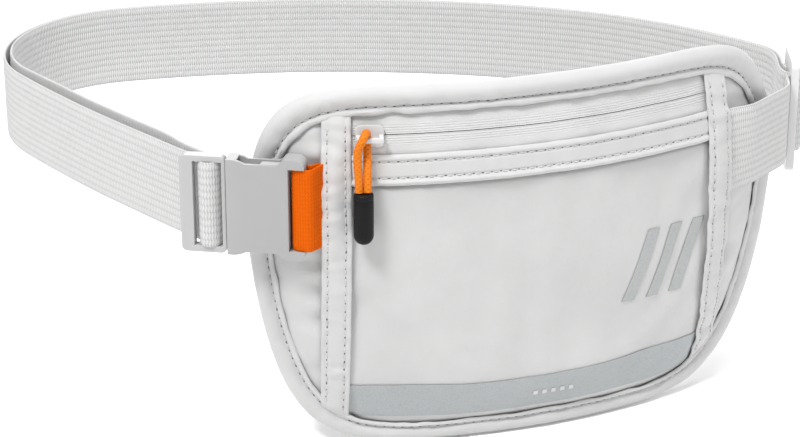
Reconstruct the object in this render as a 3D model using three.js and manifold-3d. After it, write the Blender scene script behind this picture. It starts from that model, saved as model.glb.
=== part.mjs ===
// A waist-worn money belt: a flat zipped pouch curved round the body, on an
// adjustable ring of woven webbing closed by a side-release buckle.
// Millimetres, +Z up. The origin is in the middle of the ring, at the height of
// the webbing's centre line; the pouch lies in front of it, towards -Y.

import * as THREE from 'three';
import { mergeVertices } from 'three/addons/utils/BufferGeometryUtils.js';
import Module from 'manifold-3d';

const wasm = await Module();
wasm.setup();

// ---- Driving dimensions -------------------------------------------------

const GAP = 0.3;                 // clearance between pieces that touch

// The pouch bends round a vertical axis behind it.
const WRAP_AXIS_Y = 112;
const WRAP_RADIUS = 218;         // where widths along the pouch are measured
const BACK_RADIUS = 212;         // the face against the body

// Outline of the pouch, and of the area inside its edge binding: half a
// superellipse above the widest line and half of another below it. Each has one
// power for its widths and another for its heights.
const WIDEST_Z = -11;
const ABOVE = { across: 8.6, up: 2.2 };
const BELOW = { across: 6.6, up: 1.4 };
const OUTLINE = { halfWidth: 103.4, top: 39, bottom: -92.7 };
const OPENING = { halfWidth: 94.6, top: 30, bottom: -85.7 };
const PANEL = inset(OPENING, 0.4);

const EDGE_DEPTH = 3.4;          // how far the skin stands off the body at its edge
const PUFF = 6.4;                // and how much further at its middle
const FULLNESS = 0.7;            // below 1 the middle is flatter and the edge rounder
const FLAT_HALF = 66;            // half the front panel between the seam bands

const SEAM = { centre: 71.8, width: 9.3, thickness: 0.9 };
const FABRIC = 0.9;

const ZIP = { z: 23.4, gap: 1.4, tapeBack: 4.5, tape: 0.6, coilBack: 2.9, coil: 1.3, coilWidth: 1 };
const SLIDER = { s: -60.5, length: 9.6, height: 7.6, back: 1.8, backPlate: 0.8, front: 5.5, frontPlate: 1 };
const BRIDGE = { lift: 3.9, bar: 1.4, post: 1.3, length: 9 };
const WELT = { low: 6.7, high: 16.6, thickness: 0.8 };
const STRIP = { low: -83.2, high: -70.4, rise: 1.6, thickness: 0.4 };

const CORD_DIAMETER = 2.6;
const CAP = { diameter: 6.9, length: 18.5, shift: -2.55, depth: 13.9, top: 6 };

const WEBBING = { width: 30, thickness: 1.3 };
const TAB_WIDTH = 29;
const LAYER = (WEBBING.thickness + GAP) / 2;   // each run, off the ring's centre line

// The ring of webbing seen from above, from the right seam band to the buckle:
// straight and curved legs, as [length, turn in degrees].
const RING_START = { x: 77.4, y: -96.9, heading: 32.5 };
const RING_LEGS = [
  [33, 0],
  [8, 36],
  [28, 0],
  [16, 47],
  [36, 10],
  [58, 20],
  [171, 31],
  [99, 109],
  [52, 6],
  [54, 2],
];
const TRI_GLIDE_STATION = 33 + 8 + 13;
const SWING_STATION = 253;
const SWING_GAP = 2;             // free space where the ring opens

const BUCKLE_HEADING = -29;
const BUCKLE_REACH = { along: 8.6, out: 7.5 };   // from the ring's end to the plug's bar
const TRI_GLIDE = { length: 22, height: 43, thickness: 3, bar: 3, barThickness: 1.8, lift: 2.6 };

// ---- Materials ------------------------------------------------------------

function finish(color, roughness, metalness = 0) {
  return new THREE.MeshStandardMaterial({ color, roughness, metalness });
}

const shellFabric = finish(0xe2e2e2, 0.75);
const liningFoil = finish(0xb9bcbf, 0.35, 0.6);
const webbingWeave = finish(0xdedede, 0.85);
const orangeWebbing = finish(0xe86a10, 0.8);
const orangeCord = finish(0xff8c1a, 0.7);
const greyPlastic = finish(0xc2c2c2, 0.45);
const clearPlastic = finish(0xe4e4e4, 0.35);
const zipPlastic = finish(0xcfcfcf, 0.5);
const reflective = finish(0xb2b8ba, 0.4, 0.2);
const capRubber = finish(0x222222, 0.6);

// ---- Geometry helpers -----------------------------------------------------

const clamp = THREE.MathUtils.clamp;
const radians = THREE.MathUtils.degToRad;

function inset(shape, by) {
  return { halfWidth: shape.halfWidth - by, top: shape.top - by, bottom: shape.bottom + by };
}

// A point on the pouch: s along its curve, depth out from the body, height z.
function wrap(s, depth, z) {
  const angle = s / WRAP_RADIUS;
  const radius = BACK_RADIUS + depth;
  return new THREE.Vector3(radius * Math.sin(angle), WRAP_AXIS_Y - radius * Math.cos(angle), z);
}

// The height of an outline's upper (side = 1) or lower (side = -1) edge at s.
function edgeZ(shape, s, side) {
  const power = side > 0 ? ABOVE : BELOW;
  const rise = side > 0 ? shape.top - WIDEST_Z : shape.bottom - WIDEST_Z;
  const across = clamp(Math.abs(s) / shape.halfWidth, 0, 1);
  return WIDEST_Z + rise * (1 - across ** power.across) ** (1 / power.up);
}

// A point [s, z] on an outline at an angle from its right-hand end.
function outlinePoint(shape, angle) {
  const c = Math.cos(angle);
  const n = Math.sin(angle);
  const power = n > 0 ? ABOVE : BELOW;
  const rise = n > 0 ? shape.top - WIDEST_Z : WIDEST_Z - shape.bottom;
  const s = shape.halfWidth * Math.sign(c) * Math.abs(c) ** (2 / power.across);
  const z = WIDEST_Z + rise * Math.sign(n) * Math.abs(n) ** (2 / power.up);
  return [s, z];
}

// Angles that divide an outline into equal lengths.
function evenAngles(shape, count) {
  const fine = 1440;
  const angles = [];
  const lengths = [0];
  let last = outlinePoint(shape, 0);
  for (let i = 1; i <= fine; i += 1) {
    const point = outlinePoint(shape, (2 * Math.PI * i) / fine);
    lengths.push(lengths[i - 1] + Math.hypot(point[0] - last[0], point[1] - last[1]));
    last = point;
  }
  let i = 0;
  for (let k = 0; k < count; k += 1) {
    const wanted = (lengths[fine] * k) / count;
    while (lengths[i + 1] < wanted) i += 1;
    const part = (wanted - lengths[i]) / (lengths[i + 1] - lengths[i]);
    angles.push((2 * Math.PI * (i + part)) / fine);
  }
  return angles;
}

// How far the pouch's outer skin stands off the body.
function skin(s, z) {
  const low = edgeZ(PANEL, s, -1);
  const high = edgeZ(PANEL, s, 1);
  const up = clamp((z - low) / Math.max(high - low, 1), 0, 1);
  const across = clamp((Math.abs(s) - FLAT_HALF) / (PANEL.halfWidth - FLAT_HALF), 0, 1);
  return EDGE_DEPTH + PUFF * Math.sin(Math.PI * up) ** FULLNESS * (1 - across ** 2);
}

function geometryOf(positions, index) {
  const geometry = new THREE.BufferGeometry();
  geometry.setAttribute('position', new THREE.Float32BufferAttribute(positions, 3));
  geometry.setIndex(index);
  return geometry;
}

function signedVolume(geometry) {
  const p = geometry.attributes.position;
  const index = geometry.index.array;
  const [a, b, c] = [new THREE.Vector3(), new THREE.Vector3(), new THREE.Vector3()];
  let volume = 0;
  for (let i = 0; i < index.length; i += 3) {
    a.fromBufferAttribute(p, index[i]);
    b.fromBufferAttribute(p, index[i + 1]);
    c.fromBufferAttribute(p, index[i + 2]);
    volume += a.dot(b.cross(c)) / 6;
  }
  return volume;
}

function facingOut(geometry) {
  if (signedVolume(geometry) < 0) {
    const index = geometry.index.array;
    for (let i = 0; i < index.length; i += 3) [index[i], index[i + 1]] = [index[i + 1], index[i]];
  }
  geometry.computeVertexNormals();
  return geometry;
}

// A solid lofted through rings of points, closed on itself or capped.
function loft(rings, closed = false) {
  const around = rings[0].length;
  const positions = rings.flat().flatMap((p) => [p.x, p.y, p.z]);
  const index = [];
  const steps = closed ? rings.length : rings.length - 1;
  for (let i = 0; i < steps; i += 1) {
    const here = i * around;
    const next = ((i + 1) % rings.length) * around;
    for (let j = 0; j < around; j += 1) {
      const k = (j + 1) % around;
      index.push(here + j, next + j, next + k, here + j, next + k, here + k);
    }
  }
  if (!closed) {
    const end = (rings.length - 1) * around;
    for (let j = 1; j < around - 1; j += 1) {
      index.push(0, j, j + 1, end, end + j + 1, end + j);
    }
  }
  return facingOut(geometryOf(positions, index));
}

// A sheet over part of the pouch, between two depths given as functions of
// (s, z), from s0 to s1 and from the height low(s) to high(s).
function sheet({ s0, s1, columns, rows, low, high, inner, outer }) {
  const positions = [];
  const at = (side, i, j) => (side * (columns + 1) + i) * (rows + 1) + j;
  for (const depth of [inner, outer]) {
    for (let i = 0; i <= columns; i += 1) {
      const s = s0 + ((s1 - s0) * i) / columns;
      for (let j = 0; j <= rows; j += 1) {
        const z = low(s) + ((high(s) - low(s)) * j) / rows;
        const p = wrap(s, depth(s, z), z);
        positions.push(p.x, p.y, p.z);
      }
    }
  }
  const index = [];
  const quad = (a, b, c, d) => index.push(a, b, c, a, c, d);
  for (let i = 0; i < columns; i += 1) {
    for (let j = 0; j < rows; j += 1) {
      quad(at(0, i, j), at(0, i, j + 1), at(0, i + 1, j + 1), at(0, i + 1, j));
      quad(at(1, i, j), at(1, i + 1, j), at(1, i + 1, j + 1), at(1, i, j + 1));
    }
    quad(at(0, i, 0), at(0, i + 1, 0), at(1, i + 1, 0), at(1, i, 0));
    quad(at(0, i, rows), at(1, i, rows), at(1, i + 1, rows), at(0, i + 1, rows));
  }
  for (let j = 0; j < rows; j += 1) {
    quad(at(0, 0, j), at(1, 0, j), at(1, 0, j + 1), at(0, 0, j + 1));
    quad(at(0, columns, j), at(0, columns, j + 1), at(1, columns, j + 1), at(1, columns, j));
  }
  return facingOut(geometryOf(positions, index));
}

// A strip of webbing standing on edge along points {x, y} seen from above.
function ribbon(points, width = WEBBING.width, thickness = WEBBING.thickness) {
  const rings = points.map((p, i) => {
    const before = points[Math.max(i - 1, 0)];
    const after = points[Math.min(i + 1, points.length - 1)];
    const into = new THREE.Vector2(p.x - before.x, p.y - before.y).normalize();
    const out = new THREE.Vector2(after.x - p.x, after.y - p.y).normalize();
    const along = into.clone().add(out).normalize();
    const straight = Math.max(into.lengthSq() ? along.dot(into) : 1, 0.6);
    const half = thickness / 2 / straight;
    const [nx, ny] = [along.y * half, -along.x * half];
    return [
      new THREE.Vector3(p.x + nx, p.y + ny, -width / 2),
      new THREE.Vector3(p.x + nx, p.y + ny, width / 2),
      new THREE.Vector3(p.x - nx, p.y - ny, width / 2),
      new THREE.Vector3(p.x - nx, p.y - ny, -width / 2),
    ];
  });
  return loft(rings);
}

function toManifold(geometry) {
  const bare = geometry.clone();
  bare.deleteAttribute('normal');
  bare.deleteAttribute('uv');
  const merged = mergeVertices(bare, 1e-4);
  return new wasm.Manifold(new wasm.Mesh({
    numProp: 3,
    vertProperties: new Float32Array(merged.attributes.position.array),
    triVerts: new Uint32Array(merged.index.array),
  }));
}

function fromManifold(solid) {
  const mesh = solid.getMesh();
  const geometry = geometryOf(Array.from(mesh.vertProperties), Array.from(mesh.triVerts));
  geometry.computeVertexNormals();
  return geometry;
}

function joined(base, ...others) {
  return fromManifold(others.reduce((sum, other) => sum.add(toManifold(other)), toManifold(base)));
}

function without(base, ...cuts) {
  return fromManifold(cuts.reduce((rest, cut) => rest.subtract(toManifold(cut)), toManifold(base)));
}

// A box between two corners.
function block(x0, x1, y0, y1, z0, z1) {
  const box = new THREE.BoxGeometry(x1 - x0, y1 - y0, z1 - z0);
  return box.translate((x0 + x1) / 2, (y0 + y1) / 2, (z0 + z1) / 2);
}

// A flat plate: an outline in X and Y, centred on Z.
function plate(outline, thickness) {
  const options = { depth: thickness, bevelEnabled: false, curveSegments: 5 };
  return new THREE.ExtrudeGeometry(outline, options).translate(0, 0, -thickness / 2);
}

function roundedRectangle(x0, x1, y0, y1, radius) {
  const shape = new THREE.Shape();
  shape.moveTo(x0 + radius, y0);
  shape.lineTo(x1 - radius, y0);
  shape.absarc(x1 - radius, y0 + radius, radius, -Math.PI / 2, 0);
  shape.lineTo(x1, y1 - radius);
  shape.absarc(x1 - radius, y1 - radius, radius, 0, Math.PI / 2);
  shape.lineTo(x0 + radius, y1);
  shape.absarc(x0 + radius, y1 - radius, radius, Math.PI / 2, Math.PI);
  shape.lineTo(x0, y0 + radius);
  shape.absarc(x0 + radius, y0 + radius, radius, Math.PI, 1.5 * Math.PI);
  return shape;
}

// A group whose X runs along a heading seen from above, Y up and Z outwards.
function standing(x, y, heading) {
  const group = new THREE.Group();
  group.position.set(x, y, 0);
  group.rotation.set(Math.PI / 2, 0, radians(heading), 'ZXY');
  return group;
}

const belt = new THREE.Group();

function add(name, geometry, material, parent = belt) {
  const mesh = new THREE.Mesh(geometry, material);
  mesh.name = name;
  parent.add(mesh);
}

// ---- The ring seen from above ---------------------------------------------

const STEP_DEGREES = 7;

// Stations along the ring: distance, place and heading, one per facet.
function walkRing() {
  let { x, y } = RING_START;
  let heading = radians(RING_START.heading);
  let distance = 0;
  const stations = [{ distance, x, y, heading }];
  for (const [length, turn] of RING_LEGS) {
    const facets = Math.max(1, Math.round(Math.abs(turn) / STEP_DEGREES), Math.round(length / 60));
    const bend = radians(turn) / facets;
    for (let i = 0; i < facets; i += 1) {
      x += (length / facets) * Math.cos(heading + bend / 2);
      y += (length / facets) * Math.sin(heading + bend / 2);
      heading += bend;
      distance += length / facets;
      stations.push({ distance, x, y, heading });
    }
  }
  return stations;
}

const stations = walkRing();
const ringLength = stations.at(-1).distance;

function ringAt(distance) {
  const next = Math.max(stations.findIndex((station) => station.distance >= distance), 1);
  const [a, b] = [stations[next - 1], stations[next]];
  const part = (distance - a.distance) / (b.distance - a.distance);
  return {
    distance,
    x: THREE.MathUtils.lerp(a.x, b.x, part),
    y: THREE.MathUtils.lerp(a.y, b.y, part),
    heading: THREE.MathUtils.lerp(a.heading, b.heading, part),
  };
}

// Points along the ring between two distances, moved outwards by offset.
function ringRun(from, to, offset) {
  const inside = stations.filter((station) => station.distance > from + 1 && station.distance < to - 1);
  return [ringAt(from), ...inside, ringAt(to)].map(({ x, y, heading }) => ({
    x: x + offset * Math.sin(heading),
    y: y - offset * Math.cos(heading),
  }));
}

// Points given as [along, out] from a place on the ring, seen from above.
function localPoints({ x, y, heading }, list) {
  const [c, n] = [Math.cos(heading), Math.sin(heading)];
  return list.map(([along, out]) => ({ x: x + along * c + out * n, y: y + along * n - out * c }));
}

// ---- Pouch shells ----------------------------------------------------------

const panelLow = (s) => edgeZ(PANEL, s, -1);
const panelHigh = (s) => edgeZ(PANEL, s, 1);
const BACK_SPAN = 0.975 * PANEL.halfWidth;
const LINER = inset(PANEL, 5);

function flatSheet(shape, span, columns, back, thickness) {
  return sheet({
    s0: -span,
    s1: span,
    columns,
    rows: 4,
    low: (s) => edgeZ(shape, s, -1),
    high: (s) => edgeZ(shape, s, 1),
    inner: () => back,
    outer: () => back + thickness,
  });
}

add('back_panel', flatSheet(PANEL, BACK_SPAN, 26, 0, 0.8), shellFabric);
add('shielding_liner', flatSheet(LINER, 0.96 * LINER.halfWidth, 20, 1.1, 0.3), liningFoil);

function skinSheet(s0, s1, columns, rows, low, high, lift, thickness) {
  return sheet({
    s0,
    s1,
    columns,
    rows,
    low,
    high,
    inner: (s, z) => skin(s, z) + lift,
    outer: (s, z) => skin(s, z) + lift + thickness,
  });
}

const FRONT_TOP = WELT.high - 1.5;
const frontHalf = SEAM.centre - GAP / 2;
const frontPanel = skinSheet(
  -frontHalf, frontHalf, 20, 10, panelLow, () => FRONT_TOP, -FABRIC, FABRIC,
);
add('front_panel', frontPanel, shellFabric);

for (const [name, side] of [['left', -1], ['right', 1]]) {
  const wing = skinSheet(
    side * (SEAM.centre + GAP / 2), side * BACK_SPAN, 5, 8, panelLow, panelHigh, -FABRIC, FABRIC,
  );
  add(`${name}_side_panel`, wing, shellFabric);

  const band = skinSheet(
    side * (SEAM.centre - SEAM.width / 2), side * (SEAM.centre + SEAM.width / 2),
    2, 14, (s) => panelLow(s) + 1.5, (s) => panelHigh(s) - 0.4, GAP, SEAM.thickness,
  );
  add(`${name}_seam_band`, band, shellFabric);
}

const insideBands = SEAM.centre - SEAM.width / 2 - GAP;

const welt = skinSheet(
  -insideBands, insideBands, 18, 2, () => WELT.low, () => WELT.high, GAP, WELT.thickness,
);
add('zip_welt', welt, shellFabric);

const stripRise = (s) => STRIP.rise * (s / insideBands) ** 2;
const strip = skinSheet(
  -insideBands, insideBands, 18, 2,
  (s) => Math.max(STRIP.low + stripRise(s), panelLow(s) + 1), (s) => STRIP.high + stripRise(s),
  GAP, STRIP.thickness,
);
add('reflective_strip', strip, reflective);

// The binding is folded round the whole edge; it is fuller along the top.
function bindingRing() {
  const rings = evenAngles(OUTLINE, 76).map((angle) => {
    const outer = outlinePoint(OUTLINE, angle);
    const inner = outlinePoint(OPENING, angle);
    const front = EDGE_DEPTH + 0.9 * Math.max(Math.sin(angle), 0) ** 2;
    const place = (part, depth) => wrap(
      THREE.MathUtils.lerp(outer[0], inner[0], part), depth,
      THREE.MathUtils.lerp(outer[1], inner[1], part),
    );
    return [
      place(0, 0.8), place(0, front - 0.8), place(0.18, front),
      place(1, front), place(1, 0), place(0.18, 0),
    ];
  });
  return loft(rings, true);
}

add('edge_binding', bindingRing(), shellFabric);

// ---- Zip -------------------------------------------------------------------

function zipStrip(low, high, back, thickness) {
  return sheet({
    s0: -insideBands,
    s1: insideBands,
    columns: 20,
    rows: 1,
    low: () => low,
    high: (s) => Math.min(high, panelHigh(s)),
    inner: () => back,
    outer: () => back + thickness,
  });
}

const upperZipEdge = ZIP.z + ZIP.gap / 2;
const lowerZipEdge = ZIP.z - ZIP.gap / 2;
const TAPE_TOP = OPENING.top - 0.7;
const TAPE_BOTTOM = WELT.high - 4.3;

add('zip_tape_upper', zipStrip(upperZipEdge, TAPE_TOP, ZIP.tapeBack, ZIP.tape), shellFabric);
add('zip_tape_lower', zipStrip(TAPE_BOTTOM, lowerZipEdge, ZIP.tapeBack, ZIP.tape), shellFabric);
add('zip_coil_upper',
  zipStrip(upperZipEdge, upperZipEdge + ZIP.coilWidth, ZIP.coilBack, ZIP.coil), zipPlastic);
add('zip_coil_lower',
  zipStrip(lowerZipEdge - ZIP.coilWidth, lowerZipEdge, ZIP.coilBack, ZIP.coil), zipPlastic);

// The slider and the cord on it share a group at the slider's place:
// X along the zip, Y up, Z out from the body.
const sliderPlace = wrap(SLIDER.s, 0, ZIP.z);
const sliderGroup = standing(sliderPlace.x, sliderPlace.y, THREE.MathUtils.radToDeg(SLIDER.s / WRAP_RADIUS));
sliderGroup.position.z = ZIP.z;
belt.add(sliderGroup);

const NECK = { from: -3.6, to: -1.2, half: 0.4 };
const barDepth = SLIDER.front + SLIDER.frontPlate + BRIDGE.lift;

function zipSlider() {
  const [half, tall] = [SLIDER.length / 2, SLIDER.height / 2];
  const frontFace = SLIDER.front + SLIDER.frontPlate;
  const outer = plate(roundedRectangle(-half, half, -tall, tall, 1.6), SLIDER.frontPlate)
    .translate(0, 0, SLIDER.front + SLIDER.frontPlate / 2);
  const inner = plate(roundedRectangle(-half, half, -tall, tall, 1.6), SLIDER.backPlate)
    .translate(0, 0, SLIDER.back + SLIDER.backPlate / 2);
  const neck = block(NECK.from, NECK.to, -NECK.half, NECK.half,
    SLIDER.back + SLIDER.backPlate / 2, SLIDER.front + SLIDER.frontPlate / 2);
  const arch = block(-BRIDGE.length / 2, BRIDGE.length / 2, -BRIDGE.bar / 2, BRIDGE.bar / 2,
    SLIDER.front + SLIDER.frontPlate / 2, barDepth + BRIDGE.bar / 2);
  const hole = block(BRIDGE.post - BRIDGE.length / 2, BRIDGE.length / 2 - BRIDGE.post, -BRIDGE.bar, BRIDGE.bar,
    frontFace, barDepth - BRIDGE.bar / 2);
  return without(joined(outer, inner, neck, arch), hole);
}

add('zip_slider', zipSlider(), zipPlastic, sliderGroup);

// The cord goes up in front of the bridge, over it, down behind it and back
// to the cap. Points are [along, out from the bridge's bar, up].
const CORD_ROUTE = [
  [-3.95, CAP.depth - barDepth, CAP.top - ZIP.z + GAP],
  [-4.1, 2.95, -12],
  [-4.4, 2.6, -7],
  [-4.2, 2.5, -2.6],
  [-3.0, 2.45, 0.4],
  [-2.0, 1.5, 2.1],
  [-1.4, 0, 2.6],
  [-1.1, -1.6, 1.9],
  [-1.0, -2.3, 0],
  [-1.0, -2.1, -2.6],
  [-1.0, -1.0, -5.2],
  [-1.0, 0.9, -8.4],
  [-1.1, 2.5, -12.2],
  [-1.15, CAP.depth - barDepth, CAP.top - ZIP.z + GAP],
];

function pullCord() {
  const points = CORD_ROUTE.map(([along, out, up]) => new THREE.Vector3(along, up, barDepth + out));
  const section = new THREE.Shape();
  const sides = 8;
  for (let i = 0; i < sides; i += 1) {
    const angle = (2 * Math.PI * (i + 0.5)) / sides;
    const [x, y] = [(CORD_DIAMETER / 2) * Math.cos(angle), (CORD_DIAMETER / 2) * Math.sin(angle)];
    if (i === 0) section.moveTo(x, y);
    else section.lineTo(x, y);
  }
  return new THREE.ExtrudeGeometry(section, {
    steps: 30,
    bevelEnabled: false,
    extrudePath: new THREE.CatmullRomCurve3(points, false, 'centripetal'),
  });
}

add('pull_cord', pullCord(), orangeCord, sliderGroup);

function cordCap() {
  const radius = CAP.diameter / 2;
  const top = CAP.top - ZIP.z;
  const bottom = top - CAP.length;
  const profile = [new THREE.Vector2(0, top), new THREE.Vector2(radius, top)];
  const arcSteps = 5;
  for (let i = 0; i <= arcSteps; i += 1) {
    const angle = (i / arcSteps) * (Math.PI / 2);
    profile.push(new THREE.Vector2(radius * Math.cos(angle), bottom + radius * (1 - Math.sin(angle))));
  }
  return new THREE.LatheGeometry(profile.reverse(), 14).translate(CAP.shift, 0, CAP.depth);
}

add('pull_cord_cap', cordCap(), capRubber, sliderGroup);

// ---- Buckle ----------------------------------------------------------------

// The buckle's frame: X from the plug towards the socket, Y up, Z outwards,
// with the origin on the plug's webbing bar.
const ringEnd = ringAt(ringLength);
const buckleHeading = radians(BUCKLE_HEADING);
const [plugBar] = localPoints({ ...ringEnd, heading: buckleHeading }, [[BUCKLE_REACH.along, BUCKLE_REACH.out]]);
const buckleGroup = standing(plugBar.x, plugBar.y, BUCKLE_HEADING);
belt.add(buckleGroup);

const PLUG = { left: -9.4, right: 6.4, half: 17.5, thickness: 3.8, windowLeft: -4.9, windowRight: 5, windowHalf: 15.3 };
const PLUG_BAR = { half: 1.5, thickness: 2.2 };
const TONGUE = { tip: 24.5, half: 3, thickness: 2.4 };
const PRONG_THICKNESS = 3.8;
const SOCKET = { mouth: 6.9, thickness: 7, cavityEnd: 27.2, cavityHalf: 16.2, cavityThickness: 4.6 };
const SIDE_OPENING = { from: 10.5, to: 25.5 };
const SLOT = { from: 28.2, to: 31.4, half: 14.9, barThickness: 2.4 };

function plugBody() {
  const outline = roundedRectangle(PLUG.left, PLUG.right, -PLUG.half, PLUG.half, 2);
  const window = block(PLUG.windowLeft, PLUG.windowRight, -PLUG.windowHalf, PLUG.windowHalf, -3, 3);
  const bar = block(-PLUG_BAR.half, PLUG_BAR.half, -PLUG.windowHalf - 0.5, PLUG.windowHalf + 0.5,
    -PLUG_BAR.thickness / 2, PLUG_BAR.thickness / 2);
  const tongue = block(PLUG.right - 0.5, TONGUE.tip, -TONGUE.half, TONGUE.half,
    -TONGUE.thickness / 2, TONGUE.thickness / 2);
  return joined(without(plate(outline, PLUG.thickness), window), bar, tongue);
}

// A prong seen from the front: a slim arm with a thumb pad at its tip.
function prong(side) {
  const corners = [[6.75, 9.6], [17.5, 11], [26, 11.6], [26.6, 13], [25, 15.6], [18.6, 15.6], [16.4, 13.2], [6.75, 11.6]];
  const shape = new THREE.Shape(corners.map(([along, up]) => new THREE.Vector2(along, side * up)));
  return facingOut(mergeVertices(stripped(plate(shape, PRONG_THICKNESS)), 1e-4));
}

function stripped(geometry) {
  geometry.deleteAttribute('normal');
  geometry.deleteAttribute('uv');
  return geometry;
}

function socketOutline() {
  const shape = new THREE.Shape();
  const half = [
    ['line', 6.9, 17.2],
    ['line', 9.4, 17.2],
    ['curve', 11.4, 17, 13.4, 15.9],
    ['line', 24, 15.9],
    ['curve', 25.3, 16.2, 26.2, 17.6],
    ['curve', 26.8, 18.3, 28, 18.3],
    ['line', 30.2, 18.3],
    ['curve', 33.6, 18, 33.8, 15.4],
  ];
  shape.moveTo(6.9, 0);
  for (const [kind, ...n] of half) {
    if (kind === 'line') shape.lineTo(n[0], n[1]);
    else shape.quadraticCurveTo(n[0], n[1], n[2], n[3]);
  }
  shape.lineTo(33.8, 0);
  return shape;
}

function socketBody() {
  const upper = plate(socketOutline(), SOCKET.thickness);
  const lower = plate(socketOutline(), SOCKET.thickness).rotateX(Math.PI);
  const cavity = block(SOCKET.mouth - 1, SOCKET.cavityEnd, -SOCKET.cavityHalf, SOCKET.cavityHalf,
    -SOCKET.cavityThickness / 2, SOCKET.cavityThickness / 2);
  const sides = block(SIDE_OPENING.from, SIDE_OPENING.to, -20, 20,
    -SOCKET.cavityThickness / 2, SOCKET.cavityThickness / 2);
  const slot = block(SLOT.from, SLOT.to, -SLOT.half, SLOT.half, -4, 4);
  const recess = (side) => block(SLOT.from, 35, -SLOT.half, SLOT.half,
    side > 0 ? SLOT.barThickness / 2 : -4, side > 0 ? 4 : -SLOT.barThickness / 2);
  return without(joined(upper, lower), cavity, sides, slot, recess(1), recess(-1));
}

add('buckle_plug', plugBody(), greyPlastic, buckleGroup);
add('plug_prong_upper', prong(1), greyPlastic, buckleGroup);
add('plug_prong_lower', prong(-1), greyPlastic, buckleGroup);
add('buckle_socket', socketBody(), greyPlastic, buckleGroup);

// The orange tab: out from under the left seam band, round the socket's bar
// and back, both layers sewn into the seam.
function buckleTab() {
  const buckle = { ...plugBar, heading: buckleHeading };
  const rootS = -(SEAM.centre + SEAM.width / 2 + 0.5);
  const rootOuter = wrap(rootS, 11.4, 0);
  const rootInner = wrap(rootS, 9.8, 0);
  const round = localPoints(buckle, [
    [35.5, 2.1], [32.2, 2.2], [30.4, 1.7], [29.8, 0.6], [29.8, -0.6], [30.4, -1.7], [32.2, -2.2], [35.5, -2.1],
  ]);
  return ribbon([rootOuter, ...round, rootInner], TAB_WIDTH);
}

add('buckle_tab_webbing', buckleTab(), orangeWebbing);

// ---- Waist webbing ---------------------------------------------------------

// One length of webbing: from the right seam band through the tri-glide, round
// the back to the plug's bar, round it, and back to the tri-glide's bar. It is
// cut where the ring opens and beside the tri-glide.
const triGlide = ringAt(TRI_GLIDE_STATION);
const THREAD_HALF = 13;
const threadStart = TRI_GLIDE_STATION - THREAD_HALF;
const threadEnd = TRI_GLIDE_STATION + THREAD_HALF;
const LOOP_REACH = 8.5;          // from the tri-glide's middle to the end loop's end
const loopEnd = TRI_GLIDE_STATION + LOOP_REACH;
const ADJUST_END = 115;
const swingStart = SWING_STATION - SWING_GAP / 2;
const swingEnd = SWING_STATION + SWING_GAP / 2;
const ringOut = LAYER;
const ringIn = -LAYER;

add('main_webbing_tab', ribbon(ringRun(0, threadStart - GAP, ringOut)), webbingWeave);
add('main_webbing_right', ribbon(ringRun(threadEnd + GAP, swingStart, ringOut)), webbingWeave);
add('main_webbing_left', ribbon(ringRun(swingEnd, ringLength, ringOut)), webbingWeave);
add('return_webbing_adjust', ribbon(ringRun(loopEnd + GAP, ADJUST_END, ringIn)), webbingWeave);
add('return_webbing_right', ribbon(ringRun(ADJUST_END + GAP, swingStart, ringIn)), webbingWeave);
add('return_webbing_left', ribbon(ringRun(swingEnd, ringLength - 2, ringIn)), webbingWeave);

// Through the tri-glide: inside its first end bar, out over the middle bar,
// inside its second end bar.
const lift = TRI_GLIDE.lift;
const threadPath = [
  [-THREAD_HALF, -lift], [-9, -lift], [-7.4, -2.75], [-5.6, -0.8], [-4.4, 1.6], [-2.9, 3.6], [-1, 4.1],
  [1, 4.1], [2.9, 3.6], [4.4, 1.6], [5.6, -0.8], [7.4, -2.75], [9, -lift], [THREAD_HALF, -lift],
];
const triGlideCentre = localPoints(triGlide, [[0, LAYER + lift]])[0];
const triGlideFrame = { ...triGlideCentre, heading: triGlide.heading };
add('main_webbing_threaded', ribbon(localPoints(triGlideFrame, threadPath)), webbingWeave);

// The sewn end: along the inside, round the tri-glide's middle bar and down.
const innerLine = -lift - 2 * LAYER;
const endLoopPath = [
  [LOOP_REACH, innerLine], [3, innerLine], [-0.6, -3.5], [-2.4, -2.6], [-3.1, -0.8], [-2.7, 1.2],
  [-1.2, 2.1], [1.2, 2.1], [2.7, 1.2], [3.2, -0.6], [3.9, -1.9], [5.2, -2.6],
];
add('return_webbing_end_loop', ribbon(localPoints(triGlideFrame, endLoopPath)), webbingWeave);

function triGlideBody() {
  const [half, tall, inside] = [TRI_GLIDE.length / 2, TRI_GLIDE.height / 2, WEBBING.width / 2 + 0.4];
  const frame = plate(roundedRectangle(-half, half, -tall, tall, 3), TRI_GLIDE.thickness);
  const window = block(-7.8, 7.8, -inside, inside, -3, 3);
  const bar = block(-TRI_GLIDE.bar / 2, TRI_GLIDE.bar / 2, -inside - 0.5, inside + 0.5,
    -TRI_GLIDE.barThickness / 2, TRI_GLIDE.barThickness / 2);
  return joined(without(frame, window), bar);
}

const triGlideGroup = standing(
  triGlideCentre.x, triGlideCentre.y, THREE.MathUtils.radToDeg(triGlide.heading),
);
belt.add(triGlideGroup);
add('tri_glide', triGlideBody(), clearPlastic, triGlideGroup);

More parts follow.
